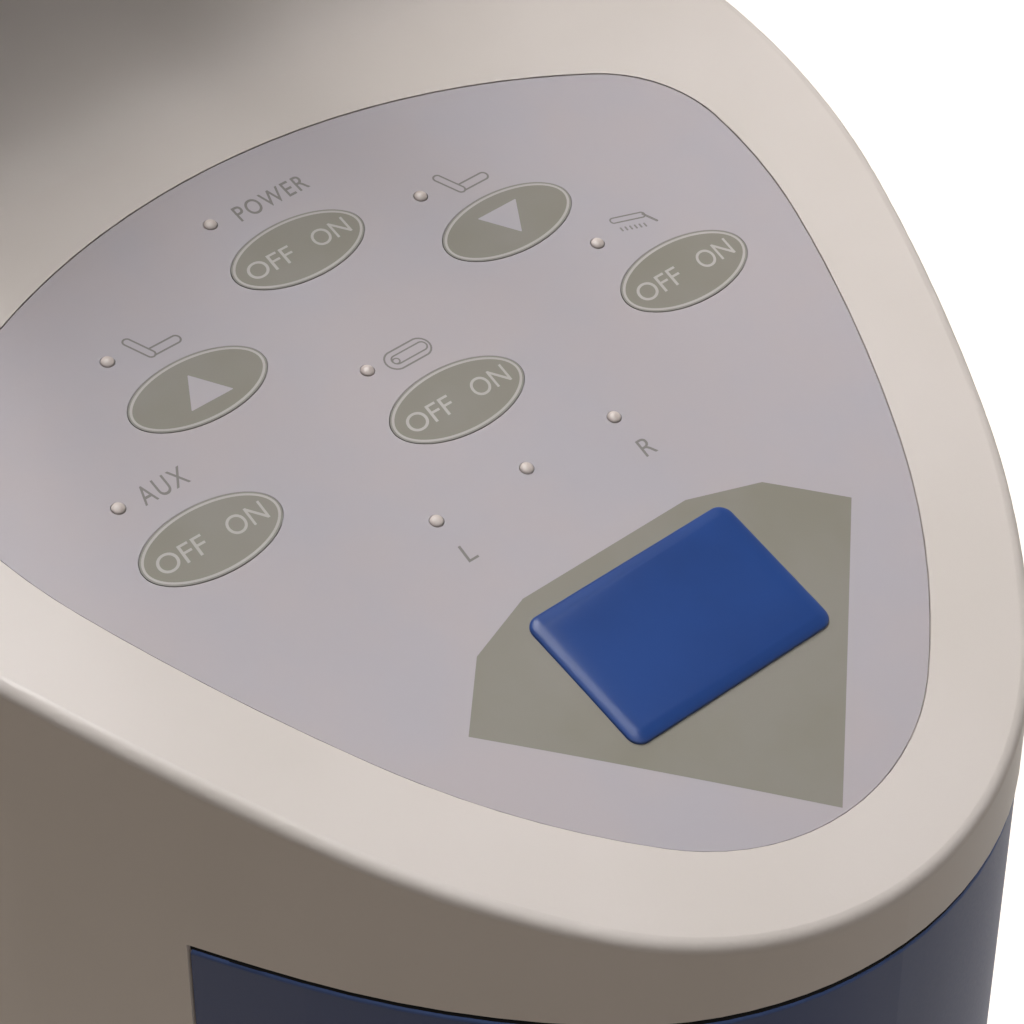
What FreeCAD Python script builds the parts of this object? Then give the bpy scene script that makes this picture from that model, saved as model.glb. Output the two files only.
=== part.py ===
"""Refraction unit stand: floor base, boat-shaped pedestal with a crowned control console,
column with an instrument table, a balanced phoropter arm and an overhead lamp.
Frame: millimetres, +Z up, origin on the floor at the column axis, console nose towards -Y.
"""

import FreeCAD
import Part
import math
import os
from FreeCAD import Placement, Rotation, Vector as V

X_AXIS = V(1, 0, 0)
Y_AXIS = V(0, 1, 0)
Z_AXIS = V(0, 0, 1)
FLUSH = 0.01

# Console: its reference point is the middle indicator on the crowned key panel.
CONSOLE_Y = -225.0
CONSOLE_Z = 760.0
PANEL_TILT = 13.65
CROWN_RADIUS = 831.0

# Body plan: straight sides, a nose of tangent arcs (radius, turn) and a round back.
BODY_HALF_WIDTH = 126.5
NOSE_START = 78.0
NOSE_ARCS = ((170.0, 21.0), (500.0, 7.0), (185.0, 17.0))
NOSE_LAST_TURN = 45.0
SHELL_WALL = 4.0
RIM_FILLET = 2.8
SEAM_Z = 620.0
SEAM_GAP = 0.4

# Riser behind the console, up to the top deck that the column leaves through.
DECK_HEIGHT = 100.0
RISER_START = 140.0
RISER_LEAN = 12.0
RISER_FILLET = 45.0

# Blue front panel let into the nose.
FRONT_EDGE = -17.3
FRONT_DROP = 50.2
FRONT_RECESS = 0.3
FRONT_THICK = 3.0
FRONT_GAP = 1.4
FRONT_SIDE_GAP = 0.2
FRONT_LIP = 1.4

# Key panel outline: tangent arcs (radius, turn) from the middle of its back edge.
PAD_BACK = 99.4
PAD_ARCS = ((160.0, 32.0), (28.0, 60.0), (110.0, 16.0), (350.0, 10.0), (160.0, 20.0))
PAD_LAST_TURN = 42.0
PAD_SINK = 0.2
OVERLAY_THICK = 0.7
OVERLAY_GAP = 0.25
BOND_GAP = 0.1
PAD_LEDGE = 7.0
BACKER_THICK = 1.8
SWITCH_SHEET_THICK = 0.6
CARRIER_THICK = 1.5
CARRIER_INSET = 2.0

# Oval keys: places on the panel, right of and behind the reference point.
KEY_HALF_LENGTH = 16.0
KEY_HALF_WIDTH = 8.3
KEY_CLEARANCE = 0.15
KEY_FLANGE = 1.2
KEY_FLANGE_THICK = 0.6
KEY_PROUD = 0.1
KEY_TRAVEL = 0.4
KEY_STEM_RADIUS = 3.0
DOME_RADIUS = 4.5
DOME_TOP_RADIUS = 2.5
DOME_HEIGHT = 0.5
KEY_PLACES = {
    "key_power": (0.0, 70.3),
    "key_chair_up": (-40.2, 51.9),
    "key_chair_down": (40.2, 51.9),
    "key_aux": (-61.4, 20.9),
    "key_projector": (0.0, 20.9),
    "key_lamp": (61.4, 20.9),
}
LED_RADIUS = 1.4
LED_CLEARANCE = 0.15
LED_PROUD = 0.9
LED_OFFSET = (-9.9, 15.8)
LED_PITCH = 23.1

# Domed badge blank on the nose end of the panel.
BADGE_LENGTH = 52.0
BADGE_WIDTH = 33.0
BADGE_CORNER = 4.0
BADGE_THICK = 1.8
BADGE_EDGE = 1.2
BADGE_PLACE = (0.8, -44.4)

# Floor base.
BASE_CENTRE = (70.0, -70.0)
BASE_LENGTH = 660.0
BASE_WIDTH = 640.0
BASE_CORNER = 150.0
BASE_COVER_LOW = 6.0
BASE_COVER_TOP = 62.0
BASE_COVER_DRAFT = 26.0
BASE_COVER_WALL = 3.5
BASE_COVER_FILLET = 10.0
COVER_POST_RADIUS = 9.0
COVER_POST_MARGIN = (110.0, 170.0)
PLATE_THICK = 10.0
PLATE_INSET = 24.0
FOOT_RADIUS = 24.0
FOOT_HEIGHT = 16.0
FOOT_PAD_HEIGHT = 9.0
FOOT_NUT_RADIUS = 12.0
FOOT_STEM_RADIUS = 5.0
FOOT_MARGIN = (95.0, 95.0)
ANCHOR_RADIUS = 6.0
ANCHOR_MARGIN = (180.0, 70.0)
PLINTH_GAP = 0.5

# Column and its floor socket.
COLUMN_RADIUS = 30.0
COLUMN_WALL = 4.0
COLUMN_TOP = 1740.0
SOCKET_RADIUS = 80.0
SOCKET_THICK = 12.0
SOCKET_SLEEVE = 12.0
SOCKET_HEIGHT = 90.0
SOCKET_BOLTS = 6
SOCKET_BOLT_CIRCLE = 62.0
SOCKET_BOLT_RADIUS = 5.0
SOCKET_BOLT_HEAD = (8.5, 6.5)
SLIP_GAP = 0.05
TRIM_WIDTH = 9.0
TRIM_HEIGHT = 7.0
TRIM_FIT = 0.3

# Chassis inside the pedestal and what it carries.
UPRIGHT_SIDE = 25.0
UPRIGHT_WALL = 2.0
UPRIGHT_X = 62.0
UPRIGHT_Y = -235.0
UPRIGHT_TOP = 690.0
SHELF_THICK = 2.5
SHELF_BACK = -36.0
SHELF_HEIGHTS = (124.0, 560.0)
CLAMP_SIZE = (96.0, 120.0, 30.0)
CLAMP_Y = -15.0
SUPPLY_SIZE = (104.0, 120.0, 95.0)
BOARD_SIZE = (100.0, 110.0, 1.6)
BOARD_PART_SIZE = (22.0, 16.0, 14.0)
STANDOFF_RADIUS = 3.5
STANDOFF_HEIGHT = 8.0
SHELF_LOAD_Y = -150.0
BRACKET_SIDE = 22.0
BRACKET_THICK = 2.0
BRACKET_HEIGHTS = (160.0, 640.0)
GLAND_TURN = 60.0
GLAND_HEIGHT = 110.0
GLAND_BODY_RADIUS = 9.0
GLAND_NUT_RADIUS = 14.0
GLAND_NUT_HEIGHT = 7.0
GLAND_CAP_HEIGHT = 16.0
GLAND_CAP_STEP = 2.0

# Hubs that turn on the column, and the collars that carry them.
HUB_RADIUS = 46.0
BUSH_WALL = 4.0
BUSH_LENGTH = 22.0
RUN_GAP = 0.05
COLLAR_RADIUS = 44.0
COLLAR_HEIGHT = 18.0
COLLAR_SPLIT = 3.0
FACE_GAP = 0.3

# Instrument table.
TABLE_COLLAR_Z = 885.0
TABLE_HUB_HEIGHT = 84.0
TABLE_REACH = 530.0
TABLE_CRANK = (80.0, 205.0)
TABLE_ARM_DROP = 78.0
TABLE_ARM_ROOT = (70.0, 52.0)
TABLE_ARM_TIP = (120.0, 28.0)
TABLE_ARM_CORNER = 10.0
SADDLE_SIZE = (190.0, 230.0, 8.0)
RAIL_RADIUS = 6.0
RAIL_HALF_LENGTH = 205.0
RAIL_Y = 85.0
RAIL_RISE = 16.0
BEARING_SIZE = (34.0, 30.0, 26.0)
BEARING_X = 62.0
RAIL_END_SIZE = (16.0, 30.0, 28.0)
TABLE_TOP_SIZE = (500.0, 360.0, 22.0)
TABLE_TOP_CORNER = 60.0
TABLE_EDGE_THICK = 3.0
LEVER_STEM_RADIUS = 6.0
LEVER_STEM_OUT = 34.0
LEVER_LENGTH = 74.0
LEVER_RADIUS = 5.0
LEVER_BALL = 11.0

# Phoropter arm: a beam and a levelling link between a hub fork and an end block.
ARM_COLLAR_Z = 1360.0
ARM_HUB_HEIGHT = 130.0
ARM_PIVOT = (92.0, 1456.0)
ARM_LENGTH = 500.0
ARM_PARKED = -40.0
ARM_HALF_WIDE = 24.0
ARM_ROOT_RADIUS = 34.0
ARM_TIP_RADIUS = 25.0
ARM_WALL = 6.0
ARM_WEB = 8.0
ARM_COVER_THICK = 2.0
ARM_COVER_FIT = 0.2
ARM_BOSS_RADIUS = 16.0
LINK_DROP = 54.0
LINK_RADIUS = 11.0
EAR_THICK = 12.0
EAR_GAP = 0.4
EAR_RADIUS = 20.0
PIN_RADIUS = 7.0
PIN_HEAD_RADIUS = 12.0
PIN_HEAD = 4.0
END_BLOCK_CLEAR = 30.0
END_BLOCK_HEIGHT = 56.0
SPINDLE_RADIUS = 11.0
SPINDLE_BUSH_WALL = 3.0
SPINDLE_NUT_RADIUS = 17.0
SPINDLE_NUT_HEIGHT = 7.0
HANGER_DISC_RADIUS = 24.0
HANGER_DISC_HEIGHT = 26.0
HANGER_REACH = 90.0
HANGER_BAR = (32.0, 16.0)
MOUNT_PIN_RADIUS = 8.0
MOUNT_PIN_LENGTH = 40.0
KNOB_RADIUS = 19.0
KNOB_LENGTH = 20.0
KNOB_GRIPS = 6
KNOB_GRIP_RADIUS = 5.0
KNOB_STEM_RADIUS = 4.0
KNOB_NECK = 6.0

# Overhead lamp.
LAMP_SPIGOT = 60.0
LAMP_CAP_RADIUS = 36.0
LAMP_CAP_HEIGHT = 16.0
LAMP_CAP_BEVEL = 6.0
LAMP_BOSS_RADIUS = 19.0
LAMP_BOSS_HEIGHT = 42.0
LAMP_TUBE_RADIUS = 11.0
LAMP_TUBE_WALL = 2.0
LAMP_RISE = 110.0
LAMP_BEND = 90.0
LAMP_REACH = 400.0
KNUCKLE_RADIUS = 15.0
KNUCKLE_HALF_WIDE = 14.0
KNUCKLE_PLUG = 26.0
LAMP_EAR_THICK = 5.0
LAMP_PIN_RADIUS = 5.0
SHADE_DROP = 34.0
SHADE_RADIUS = 82.0
SHADE_HEIGHT = 64.0
SHADE_NECK = 26.0
SHADE_WALL = 2.5
LAMP_MODULE_RADIUS = 46.0
LAMP_MODULE_THICK = 12.0
DIFFUSER_THICK = 3.0

PANEL = Placement(V(0, CONSOLE_Y, CONSOLE_Z), Rotation(X_AXIS, PANEL_TILT))
DECK_Z = CONSOLE_Z + DECK_HEIGHT
FRONT_TOP_Z = CONSOLE_Z - FRONT_DROP
OVERLAY_BACK = -PAD_SINK - OVERLAY_THICK
BACKER_FACE = OVERLAY_BACK - BOND_GAP
SWITCH_FACE = BACKER_FACE - BACKER_THICK - BOND_GAP
CARRIER_FACE = min(SWITCH_FACE - SWITCH_SHEET_THICK, -SHELL_WALL) - BOND_GAP
PLATE_TOP = FOOT_HEIGHT + PLATE_THICK
TABLE_HUB_Z = TABLE_COLLAR_Z + COLLAR_HEIGHT + FACE_GAP
ARM_HUB_Z = ARM_COLLAR_Z + COLLAR_HEIGHT + FACE_GAP
HUB_BORE = COLUMN_RADIUS + RUN_GAP + BUSH_WALL + SLIP_GAP
SADDLE_Z = TABLE_HUB_Z + TABLE_HUB_HEIGHT / 2 + TABLE_ARM_ROOT[1] / 2 - TABLE_ARM_DROP
RAIL_Z = SADDLE_Z + SADDLE_SIZE[2] + RAIL_RISE
TABLE_Z = RAIL_Z + RAIL_END_SIZE[2] / 2
ARM_TIP = (ARM_PIVOT[0] + ARM_LENGTH, ARM_PIVOT[1])
LAMP_Z = COLUMN_TOP + LAMP_CAP_HEIGHT + LAMP_RISE + LAMP_BEND


# Shared drawing helpers.
def arc_chain(start, heading, arcs, inset=0.0):
    """Tangent arcs that turn right; a positive inset draws the parallel curve on the right."""
    angle = math.radians(heading)
    point = V(*start, 0) + V(math.sin(angle), -math.cos(angle), 0) * inset
    edges = []
    for radius, turn in arcs:
        r = radius - inset
        half_turn = math.radians(turn) / 2
        centre = point + V(math.sin(angle), -math.cos(angle), 0) * r
        middle = centre - V(math.sin(angle - half_turn), -math.cos(angle - half_turn), 0) * r
        angle -= 2 * half_turn
        end = centre - V(math.sin(angle), -math.cos(angle), 0) * r
        edges.append(Part.Arc(point, middle, end).toShape())
        point = end
    return edges, point, angle


def to_centre_line(start, heading, arcs, last_turn):
    """The arcs with one more, whose radius brings the chain to x = 0."""
    _, point, angle = arc_chain(start, heading, arcs)
    return tuple(arcs) + ((-point.x / math.sin(angle), last_turn),)


def mirrored(edges):
    return edges + [e.mirror(V(0, 0, 0), X_AXIS) for e in edges]


def face_of(edges):
    return Part.Face(Part.Wire(Part.__sortEdges__(edges)))


def line(a, b):
    return Part.LineSegment(a, b).toShape()


def rounded_rectangle(length, width, corner, z=0.0):
    x, y = length / 2, width / 2
    k = corner * (1 - math.sqrt(0.5))
    edges = []
    for sx, sy in ((1, 1), (-1, 1), (-1, -1), (1, -1)):
        ends = [V(sx * x, sy * (y - corner), z), V(sx * (x - corner), sy * y, z)]
        middle = V(sx * (x - k), sy * (y - k), z)
        edges.append(Part.Arc(ends[0], middle, ends[1]).toShape())
    edges.append(line(V(x - corner, y, z), V(corner - x, y, z)))
    edges.append(line(V(x - corner, -y, z), V(corner - x, -y, z)))
    edges.append(line(V(x, y - corner, z), V(x, corner - y, z)))
    edges.append(line(V(-x, y - corner, z), V(-x, corner - y, z)))
    return Part.Wire(Part.__sortEdges__(edges))


def block(size, centre, z):
    """A box of that size, centred on (x, y) and standing on height z."""
    low = V(centre[0] - size[0] / 2, centre[1] - size[1] / 2, z)
    return Part.makeBox(*size, low)


def rod(radius, length, base, axis=Z_AXIS):
    return Part.makeCylinder(radius, length, base, axis)


def ring(outer, inner, height, base):
    return rod(outer, height, base).cut(rod(inner, height, base))


def fillet_where(shape, radius, chosen):
    return shape.makeFillet(radius, [e for e in shape.Edges if chosen(e)])


def fillet_top(shape, radius, top):
    """Rounds every edge of the face at that height."""
    return fillet_where(shape, radius, lambda e: all(v.Z > top - FLUSH for v in e.Vertexes))


def turned(points, base=V(0, 0, 0)):
    """A solid of revolution about the vertical line through base from (radius, height) points."""
    outline = Part.makePolygon([V(r, 0, z) for r, z in points + points[:1]])
    solid = Part.Face(outline).revolve(V(0, 0, 0), Z_AXIS, 360)
    solid.translate(base)
    return Part.Solid(solid) if solid.ShapeType != "Solid" else solid


# Pedestal body.
def body_plan(inset=0.0):
    """Boat-shaped plan: nose arcs, straight sides and a half-round back about the column."""
    start = (BODY_HALF_WIDTH, CONSOLE_Y + NOSE_START)
    arcs = to_centre_line(start, -90, NOSE_ARCS, NOSE_LAST_TURN)
    nose, _, _ = arc_chain(start, -90, arcs, inset)
    half = BODY_HALF_WIDTH - inset
    side = line(V(half, CONSOLE_Y + NOSE_START, 0), V(half, 0, 0))
    back = Part.Arc(V(half, 0, 0), V(0, half, 0), V(-half, 0, 0)).toShape()
    return face_of(mirrored(nose + [side]) + [back])


def body_prism(inset, low, high):
    prism = body_plan(inset).extrude(V(0, 0, high - low))
    prism.translate(V(0, 0, low))
    return prism


def side_profile(inset=0.0):
    """Side view of the console: crowned top, concave sweep, leaning riser and deck."""
    tilt = math.radians(PANEL_TILT)
    lean = math.radians(RISER_LEAN)
    crown = CROWN_RADIUS - inset
    centre = V(0, math.sin(tilt), -math.cos(tilt)) * CROWN_RADIUS + V(0, CONSOLE_Y, CONSOLE_Z)
    foot = V(0, CONSOLE_Y + RISER_START, CONSOLE_Z)
    up = V(0, math.sin(lean), math.cos(lean))
    ahead = V(0, -math.cos(lean), math.sin(lean))
    sweep = RISER_FILLET + inset
    # The sweep's centre lies one sweep radius off both the riser and the crown.
    base = foot + ahead * RISER_FILLET - centre
    along = base.dot(up)
    reach = math.sqrt(along**2 - base.dot(base) + (CROWN_RADIUS + RISER_FILLET) ** 2) - along
    hub = centre + base + up * reach
    on_crown = centre + (hub - centre).normalize() * crown
    on_riser = hub - ahead * sweep
    halfway = (on_crown - hub).normalize() + (on_riser - hub).normalize()
    between = hub + halfway.normalize() * sweep
    nose_y = CONSOLE_Y - 2 * BODY_HALF_WIDTH
    nose_z = centre.z + math.sqrt(crown**2 - (nose_y - centre.y) ** 2)
    nose = V(0, nose_y, nose_z)
    halfway = (nose - centre).normalize() + (on_crown - centre).normalize()
    on_top = centre + halfway.normalize() * crown
    deck = DECK_Z - inset
    riser_top = on_riser + up * ((deck - on_riser.z) / up.z)
    back_y = 2 * BODY_HALF_WIDTH
    low = SEAM_Z - SHELL_WALL
    corners = [riser_top, V(0, back_y, deck), V(0, back_y, low), V(0, nose_y, low), nose]
    edges = [Part.Arc(nose, on_top, on_crown).toShape()]
    edges.append(Part.Arc(on_crown, between, on_riser).toShape())
    edges.append(line(on_riser, riser_top))
    edges += [line(a, b) for a, b in zip(corners, corners[1:])]
    return face_of(edges)


def console_form(inset, low):
    """The console's outer or inner form: its plan run up to its side profile."""
    width = 4 * BODY_HALF_WIDTH
    profile = side_profile(inset).extrude(V(width, 0, 0))
    profile.translate(V(-width / 2, 0, 0))
    return body_prism(inset, low, DECK_Z + RISER_FILLET).common(profile)


def front_cutter(gap, side_gap, low, high):
    """Everything ahead of the front panel's back edges, from low to high."""
    edge = CONSOLE_Y + FRONT_EDGE + side_gap
    deep = 2 * BODY_HALF_WIDTH
    corner = V(-2 * BODY_HALF_WIDTH, edge - deep, low)
    return Part.makeBox(4 * BODY_HALF_WIDTH, deep, high + gap - low, corner)


def console_shell():
    """Moulded top: crowned console, sweep and deck in one wall, open for the key panel and front."""
    outer = console_form(0.0, SEAM_Z)

    def on_rim(edge):
        middle = edge.valueAt((edge.FirstParameter + edge.LastParameter) / 2)
        across = edge.Curve.TypeId == "Part::GeomLine" and abs(middle.x) < 1
        return min(v.Z for v in edge.Vertexes) > SEAM_Z + 1 and not (across and middle.z < DECK_Z - 1)

    outer = fillet_where(outer, RIM_FILLET, on_rim)
    shell = outer.cut(console_form(SHELL_WALL, SEAM_Z - SHELL_WALL))
    shell = shell.cut(front_cutter(FRONT_GAP, FRONT_SIDE_GAP, SEAM_Z - SHELL_WALL, FRONT_TOP_Z))
    shell = shell.cut(pad_layer(0.0, RIM_FILLET, OVERLAY_BACK - BOND_GAP))
    shell = shell.cut(pad_layer(PAD_LEDGE, RIM_FILLET, -2 * SHELL_WALL))
    hole = rod(COLUMN_RADIUS + TRIM_WIDTH / 2, 3 * SHELL_WALL, V(0, 0, DECK_Z - 2 * SHELL_WALL))
    return shell.cut(hole)


def pedestal_half(side):
    """Lower side shell, split from its twin along the middle of the back."""
    low, high = PLATE_TOP, SEAM_Z - SEAM_GAP
    wall = body_prism(0.0, low, high).cut(body_prism(SHELL_WALL, low, high))
    wall = wall.cut(front_cutter(0.0, FRONT_SIDE_GAP, low, high))
    width = 2 * BODY_HALF_WIDTH
    half = Part.makeBox(width, 3 * width, high - low, V(SEAM_GAP / 2, -2 * width, low))
    if side < 0:
        half = half.mirror(V(0, 0, 0), X_AXIS)
    wall = wall.common(half)
    return wall.cut(along_gland(GLAND_BODY_RADIUS + SLIP_GAP, -2 * SHELL_WALL, 4 * SHELL_WALL))


def front_panel():
    """Curved coloured panel let into the nose, with a rolled top edge."""
    low = PLATE_TOP
    panel = body_prism(FRONT_RECESS, low, FRONT_TOP_Z)
    panel = panel.common(front_cutter(0.0, -FRONT_SIDE_GAP, low, FRONT_TOP_Z))

    def top_front(edge):
        points = [edge.valueAt(p) for p in (edge.FirstParameter, edge.LastParameter)]
        curved = edge.Curve.TypeId == "Part::GeomCircle"
        return curved and all(p.z > FRONT_TOP_Z - FLUSH for p in points)

    panel = fillet_where(panel, FRONT_LIP, top_front)
    return panel.cut(body_prism(FRONT_RECESS + FRONT_THICK, low - FRONT_GAP, FRONT_TOP_Z + FRONT_GAP))


# Key panel stack, drawn flat in the panel's own frame and crowned by cylinders.
def pad_plan(inset):
    start = (0.0, PAD_BACK)
    arcs = to_centre_line(start, 0, PAD_ARCS, PAD_LAST_TURN)
    edges, _, _ = arc_chain(start, 0, arcs, inset)
    return face_of(mirrored(edges))


def crown_solid(offset):
    length = 4 * BODY_HALF_WIDTH
    return rod(CROWN_RADIUS + offset, length, V(-length / 2, 0, -CROWN_RADIUS), X_AXIS)


def pad_layer(inset, top, bottom, cutters=()):
    """A crowned sheet with the key panel's outline, between two heights off the console's face."""
    deep = 2 * RISER_FILLET
    prism = pad_plan(inset).extrude(V(0, 0, 2 * deep))
    prism.translate(V(0, 0, -deep))
    sheet = prism.common(crown_solid(top)).cut(crown_solid(bottom))
    for cutter in cutters:
        sheet = sheet.cut(cutter)
    sheet.Placement = PANEL.multiply(sheet.Placement)
    return sheet


def on_crown(place):
    """Frame on the crowned face at a panel place, its Z along the local normal."""
    rise = math.asin(place[1] / CROWN_RADIUS)
    point = V(place[0], place[1], CROWN_RADIUS * (math.cos(rise) - 1))
    return Placement(point, Rotation(X_AXIS, -math.degrees(rise)))


def oval(half_length, half_width, top, bottom):
    curve = Part.Ellipse(V(0, 0, bottom), half_length, half_width)
    return Part.Face(Part.Wire(curve.toShape())).extrude(V(0, 0, top - bottom))


def placed(shape, place):
    shape.Placement = on_crown(place).multiply(shape.Placement)
    return shape


def oval_cutters(extra):
    size = (KEY_HALF_LENGTH + extra, KEY_HALF_WIDTH + extra)
    return [placed(oval(*size, RIM_FILLET, -RIM_FILLET), p) for p in KEY_PLACES.values()]


def led_places():
    beside = [(x + LED_OFFSET[0], y + LED_OFFSET[1]) for x, y in KEY_PLACES.values()]
    return beside + [(i * LED_PITCH, 0.0) for i in (-1, 0, 1)]


def led_cutters():
    radius = LED_RADIUS + LED_CLEARANCE
    return [placed(rod(radius, 4 * RIM_FILLET, V(0, 0, -2 * RIM_FILLET)), p) for p in led_places()]


def keypad_overlay():
    cutters = oval_cutters(KEY_CLEARANCE) + led_cutters()
    return pad_layer(OVERLAY_GAP, -PAD_SINK, OVERLAY_BACK, cutters)


def keypad_backer():
    cutters = oval_cutters(KEY_FLANGE + 2 * KEY_CLEARANCE) + led_cutters()
    return pad_layer(PAD_LEDGE + OVERLAY_GAP, BACKER_FACE, BACKER_FACE - BACKER_THICK, cutters)


def switch_sheet():
    return pad_layer(PAD_LEDGE + OVERLAY_GAP, SWITCH_FACE, SWITCH_FACE - SWITCH_SHEET_THICK)


def keypad_carrier():
    return pad_layer(CARRIER_INSET, CARRIER_FACE, CARRIER_FACE - CARRIER_THICK)


def key(place):
    """Oval key: a cap through the overlay, a flange held under it and a stem over its dome."""
    flange_top = OVERLAY_BACK - BOND_GAP
    cap = oval(KEY_HALF_LENGTH, KEY_HALF_WIDTH, KEY_PROUD - PAD_SINK, flange_top)
    flange_size = (KEY_HALF_LENGTH + KEY_FLANGE, KEY_HALF_WIDTH + KEY_FLANGE)
    flange = oval(*flange_size, flange_top, flange_top - KEY_FLANGE_THICK)
    dome_top = SWITCH_FACE + BOND_GAP + DOME_HEIGHT
    stem_low = dome_top + BOND_GAP + KEY_TRAVEL
    stem = rod(KEY_STEM_RADIUS, flange_top - stem_low, V(0, 0, stem_low))
    shape = cap.fuse(flange).fuse(stem).removeSplitter()
    placed(shape, place)
    shape.Placement = PANEL.multiply(shape.Placement)
    return shape


def snap_dome(place):
    """Sprung metal disc with coned sides under one key, resting on the switch sheet."""
    points = [(0, 0), (DOME_RADIUS, 0), (DOME_TOP_RADIUS, DOME_HEIGHT), (0, DOME_HEIGHT)]
    disc = turned(points, V(0, 0, SWITCH_FACE + BOND_GAP))
    placed(disc, place)
    disc.Placement = PANEL.multiply(disc.Placement)
    return disc


def led_lens(place):
    base = SWITCH_FACE + BOND_GAP
    straight = rod(LED_RADIUS, LED_PROUD - LED_RADIUS / 2 - base, V(0, 0, base))
    tip = Part.makeSphere(LED_RADIUS, V(0, 0, 0))
    tip = tip.common(rod(2 * LED_RADIUS, LED_RADIUS, V(0, 0, 0)))
    matrix = FreeCAD.Matrix()
    matrix.scale(1, 1, 0.5)
    tip = tip.transformGeometry(matrix)
    tip.translate(V(0, 0, LED_PROUD - LED_RADIUS / 2))
    lens = straight.fuse(tip).removeSplitter()
    placed(lens, place)
    lens.Placement = PANEL.multiply(lens.Placement)
    return lens


def badge_plate():
    """Blank domed badge bonded to the panel's nose end."""
    wire = rounded_rectangle(BADGE_LENGTH, BADGE_WIDTH, BADGE_CORNER)
    plate = Part.Face(wire).extrude(V(0, 0, BADGE_THICK))
    plate = fillet_top(plate, BADGE_EDGE, BADGE_THICK)
    plate.translate(V(0, 0, BOND_GAP - PAD_SINK))
    placed(plate, BADGE_PLACE)
    plate.Placement = PANEL.multiply(plate.Placement)
    return plate


# Floor base and column.
def based(shape):
    shape.translate(V(*BASE_CENTRE, 0))
    return shape


def corners(spacing):
    return [(sx * spacing[0] / 2, sy * spacing[1] / 2) for sx in (-1, 1) for sy in (-1, 1)]


def base_corners(margin):
    """Four places set in from the base's sides by a margin along and across it."""
    return corners((BASE_LENGTH - 2 * margin[0], BASE_WIDTH - 2 * margin[1]))


def base_form(inset, low, high):
    """Drafted block with rounded corners, drawn in by one amount all round."""
    draft = BASE_COVER_DRAFT / (BASE_COVER_TOP - BASE_COVER_LOW)
    wires = []
    for z in (low, high):
        less = inset + draft * (z - BASE_COVER_LOW)
        size = (BASE_LENGTH - 2 * less, BASE_WIDTH - 2 * less)
        wires.append(rounded_rectangle(*size, BASE_CORNER - less, z))
    return Part.makeLoft(wires, True, True)


def socket_bolt_places():
    turns = [2 * math.pi * i / SOCKET_BOLTS for i in range(SOCKET_BOLTS)]
    return [V(SOCKET_BOLT_CIRCLE * math.cos(a), SOCKET_BOLT_CIRCLE * math.sin(a), 0) for a in turns]


def base_plate():
    size = (BASE_LENGTH - 2 * PLATE_INSET, BASE_WIDTH - 2 * PLATE_INSET)
    wire = rounded_rectangle(*size, BASE_CORNER - PLATE_INSET)
    plate = Part.Face(wire).extrude(V(0, 0, PLATE_THICK))
    for x, y in base_corners(ANCHOR_MARGIN):
        plate = plate.cut(rod(ANCHOR_RADIUS, PLATE_THICK, V(x, y, 0)))
    plate = based(plate)
    for x, y in foot_places():
        plate = plate.cut(rod(FOOT_STEM_RADIUS + SLIP_GAP, PLATE_THICK, V(x, y, 0)))
    for place in socket_bolt_places():
        plate = plate.cut(rod(SOCKET_BOLT_RADIUS + SLIP_GAP, PLATE_THICK, place))
    plate.translate(V(0, 0, FOOT_HEIGHT))
    return plate


def base_cover():
    """Drafted cover over the plate, open below, with posts that stand on the plate."""
    outer = base_form(0.0, BASE_COVER_LOW, BASE_COVER_TOP)
    outer = fillet_top(outer, BASE_COVER_FILLET, BASE_COVER_TOP)
    cover = outer.cut(base_form(BASE_COVER_WALL, BASE_COVER_LOW, BASE_COVER_TOP - BASE_COVER_WALL))
    post = BASE_COVER_TOP - BASE_COVER_WALL / 2 - PLATE_TOP
    for x, y in base_corners(COVER_POST_MARGIN):
        cover = cover.fuse(rod(COVER_POST_RADIUS, post, V(x, y, PLATE_TOP)))
    return based(cover).cut(body_prism(-PLINTH_GAP, PLATE_TOP, 2 * BASE_COVER_TOP))


def foot_places():
    """Four corner feet and one straight under the column."""
    return [(BASE_CENTRE[0] + x, BASE_CENTRE[1] + y) for x, y in base_corners(FOOT_MARGIN)] + [(0.0, 0.0)]


def levelling_foot(x, y):
    points = [(0, 0), (FOOT_RADIUS, 0), (FOOT_RADIUS, FOOT_PAD_HEIGHT / 2)]
    points += [(FOOT_NUT_RADIUS, FOOT_PAD_HEIGHT)]
    points += [(FOOT_NUT_RADIUS, FOOT_HEIGHT), (FOOT_STEM_RADIUS, FOOT_HEIGHT)]
    points += [(FOOT_STEM_RADIUS, PLATE_TOP + PLATE_THICK), (0, PLATE_TOP + PLATE_THICK)]
    return turned(points, V(x, y, 0))


def column_socket():
    bore = COLUMN_RADIUS + SLIP_GAP
    flange = ring(SOCKET_RADIUS, bore, SOCKET_THICK, V(0, 0, PLATE_TOP))
    sleeve = ring(bore + SOCKET_SLEEVE, bore, SOCKET_HEIGHT, V(0, 0, PLATE_TOP))
    socket = flange.fuse(sleeve).removeSplitter()
    for place in socket_bolt_places():
        socket = socket.cut(rod(SOCKET_BOLT_RADIUS + SLIP_GAP, SOCKET_THICK, place + V(0, 0, PLATE_TOP)))
    return socket


def socket_bolt(place):
    head_radius, head_height = SOCKET_BOLT_HEAD
    top = PLATE_TOP + SOCKET_THICK
    points = [(0, FOOT_HEIGHT), (SOCKET_BOLT_RADIUS, FOOT_HEIGHT), (SOCKET_BOLT_RADIUS, top)]
    points += [(head_radius, top), (head_radius, top + head_height), (0, top + head_height)]
    return turned(points, place)


def column_tube():
    return ring(COLUMN_RADIUS, COLUMN_RADIUS - COLUMN_WALL, COLUMN_TOP - PLATE_TOP, V(0, 0, PLATE_TOP))


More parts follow.
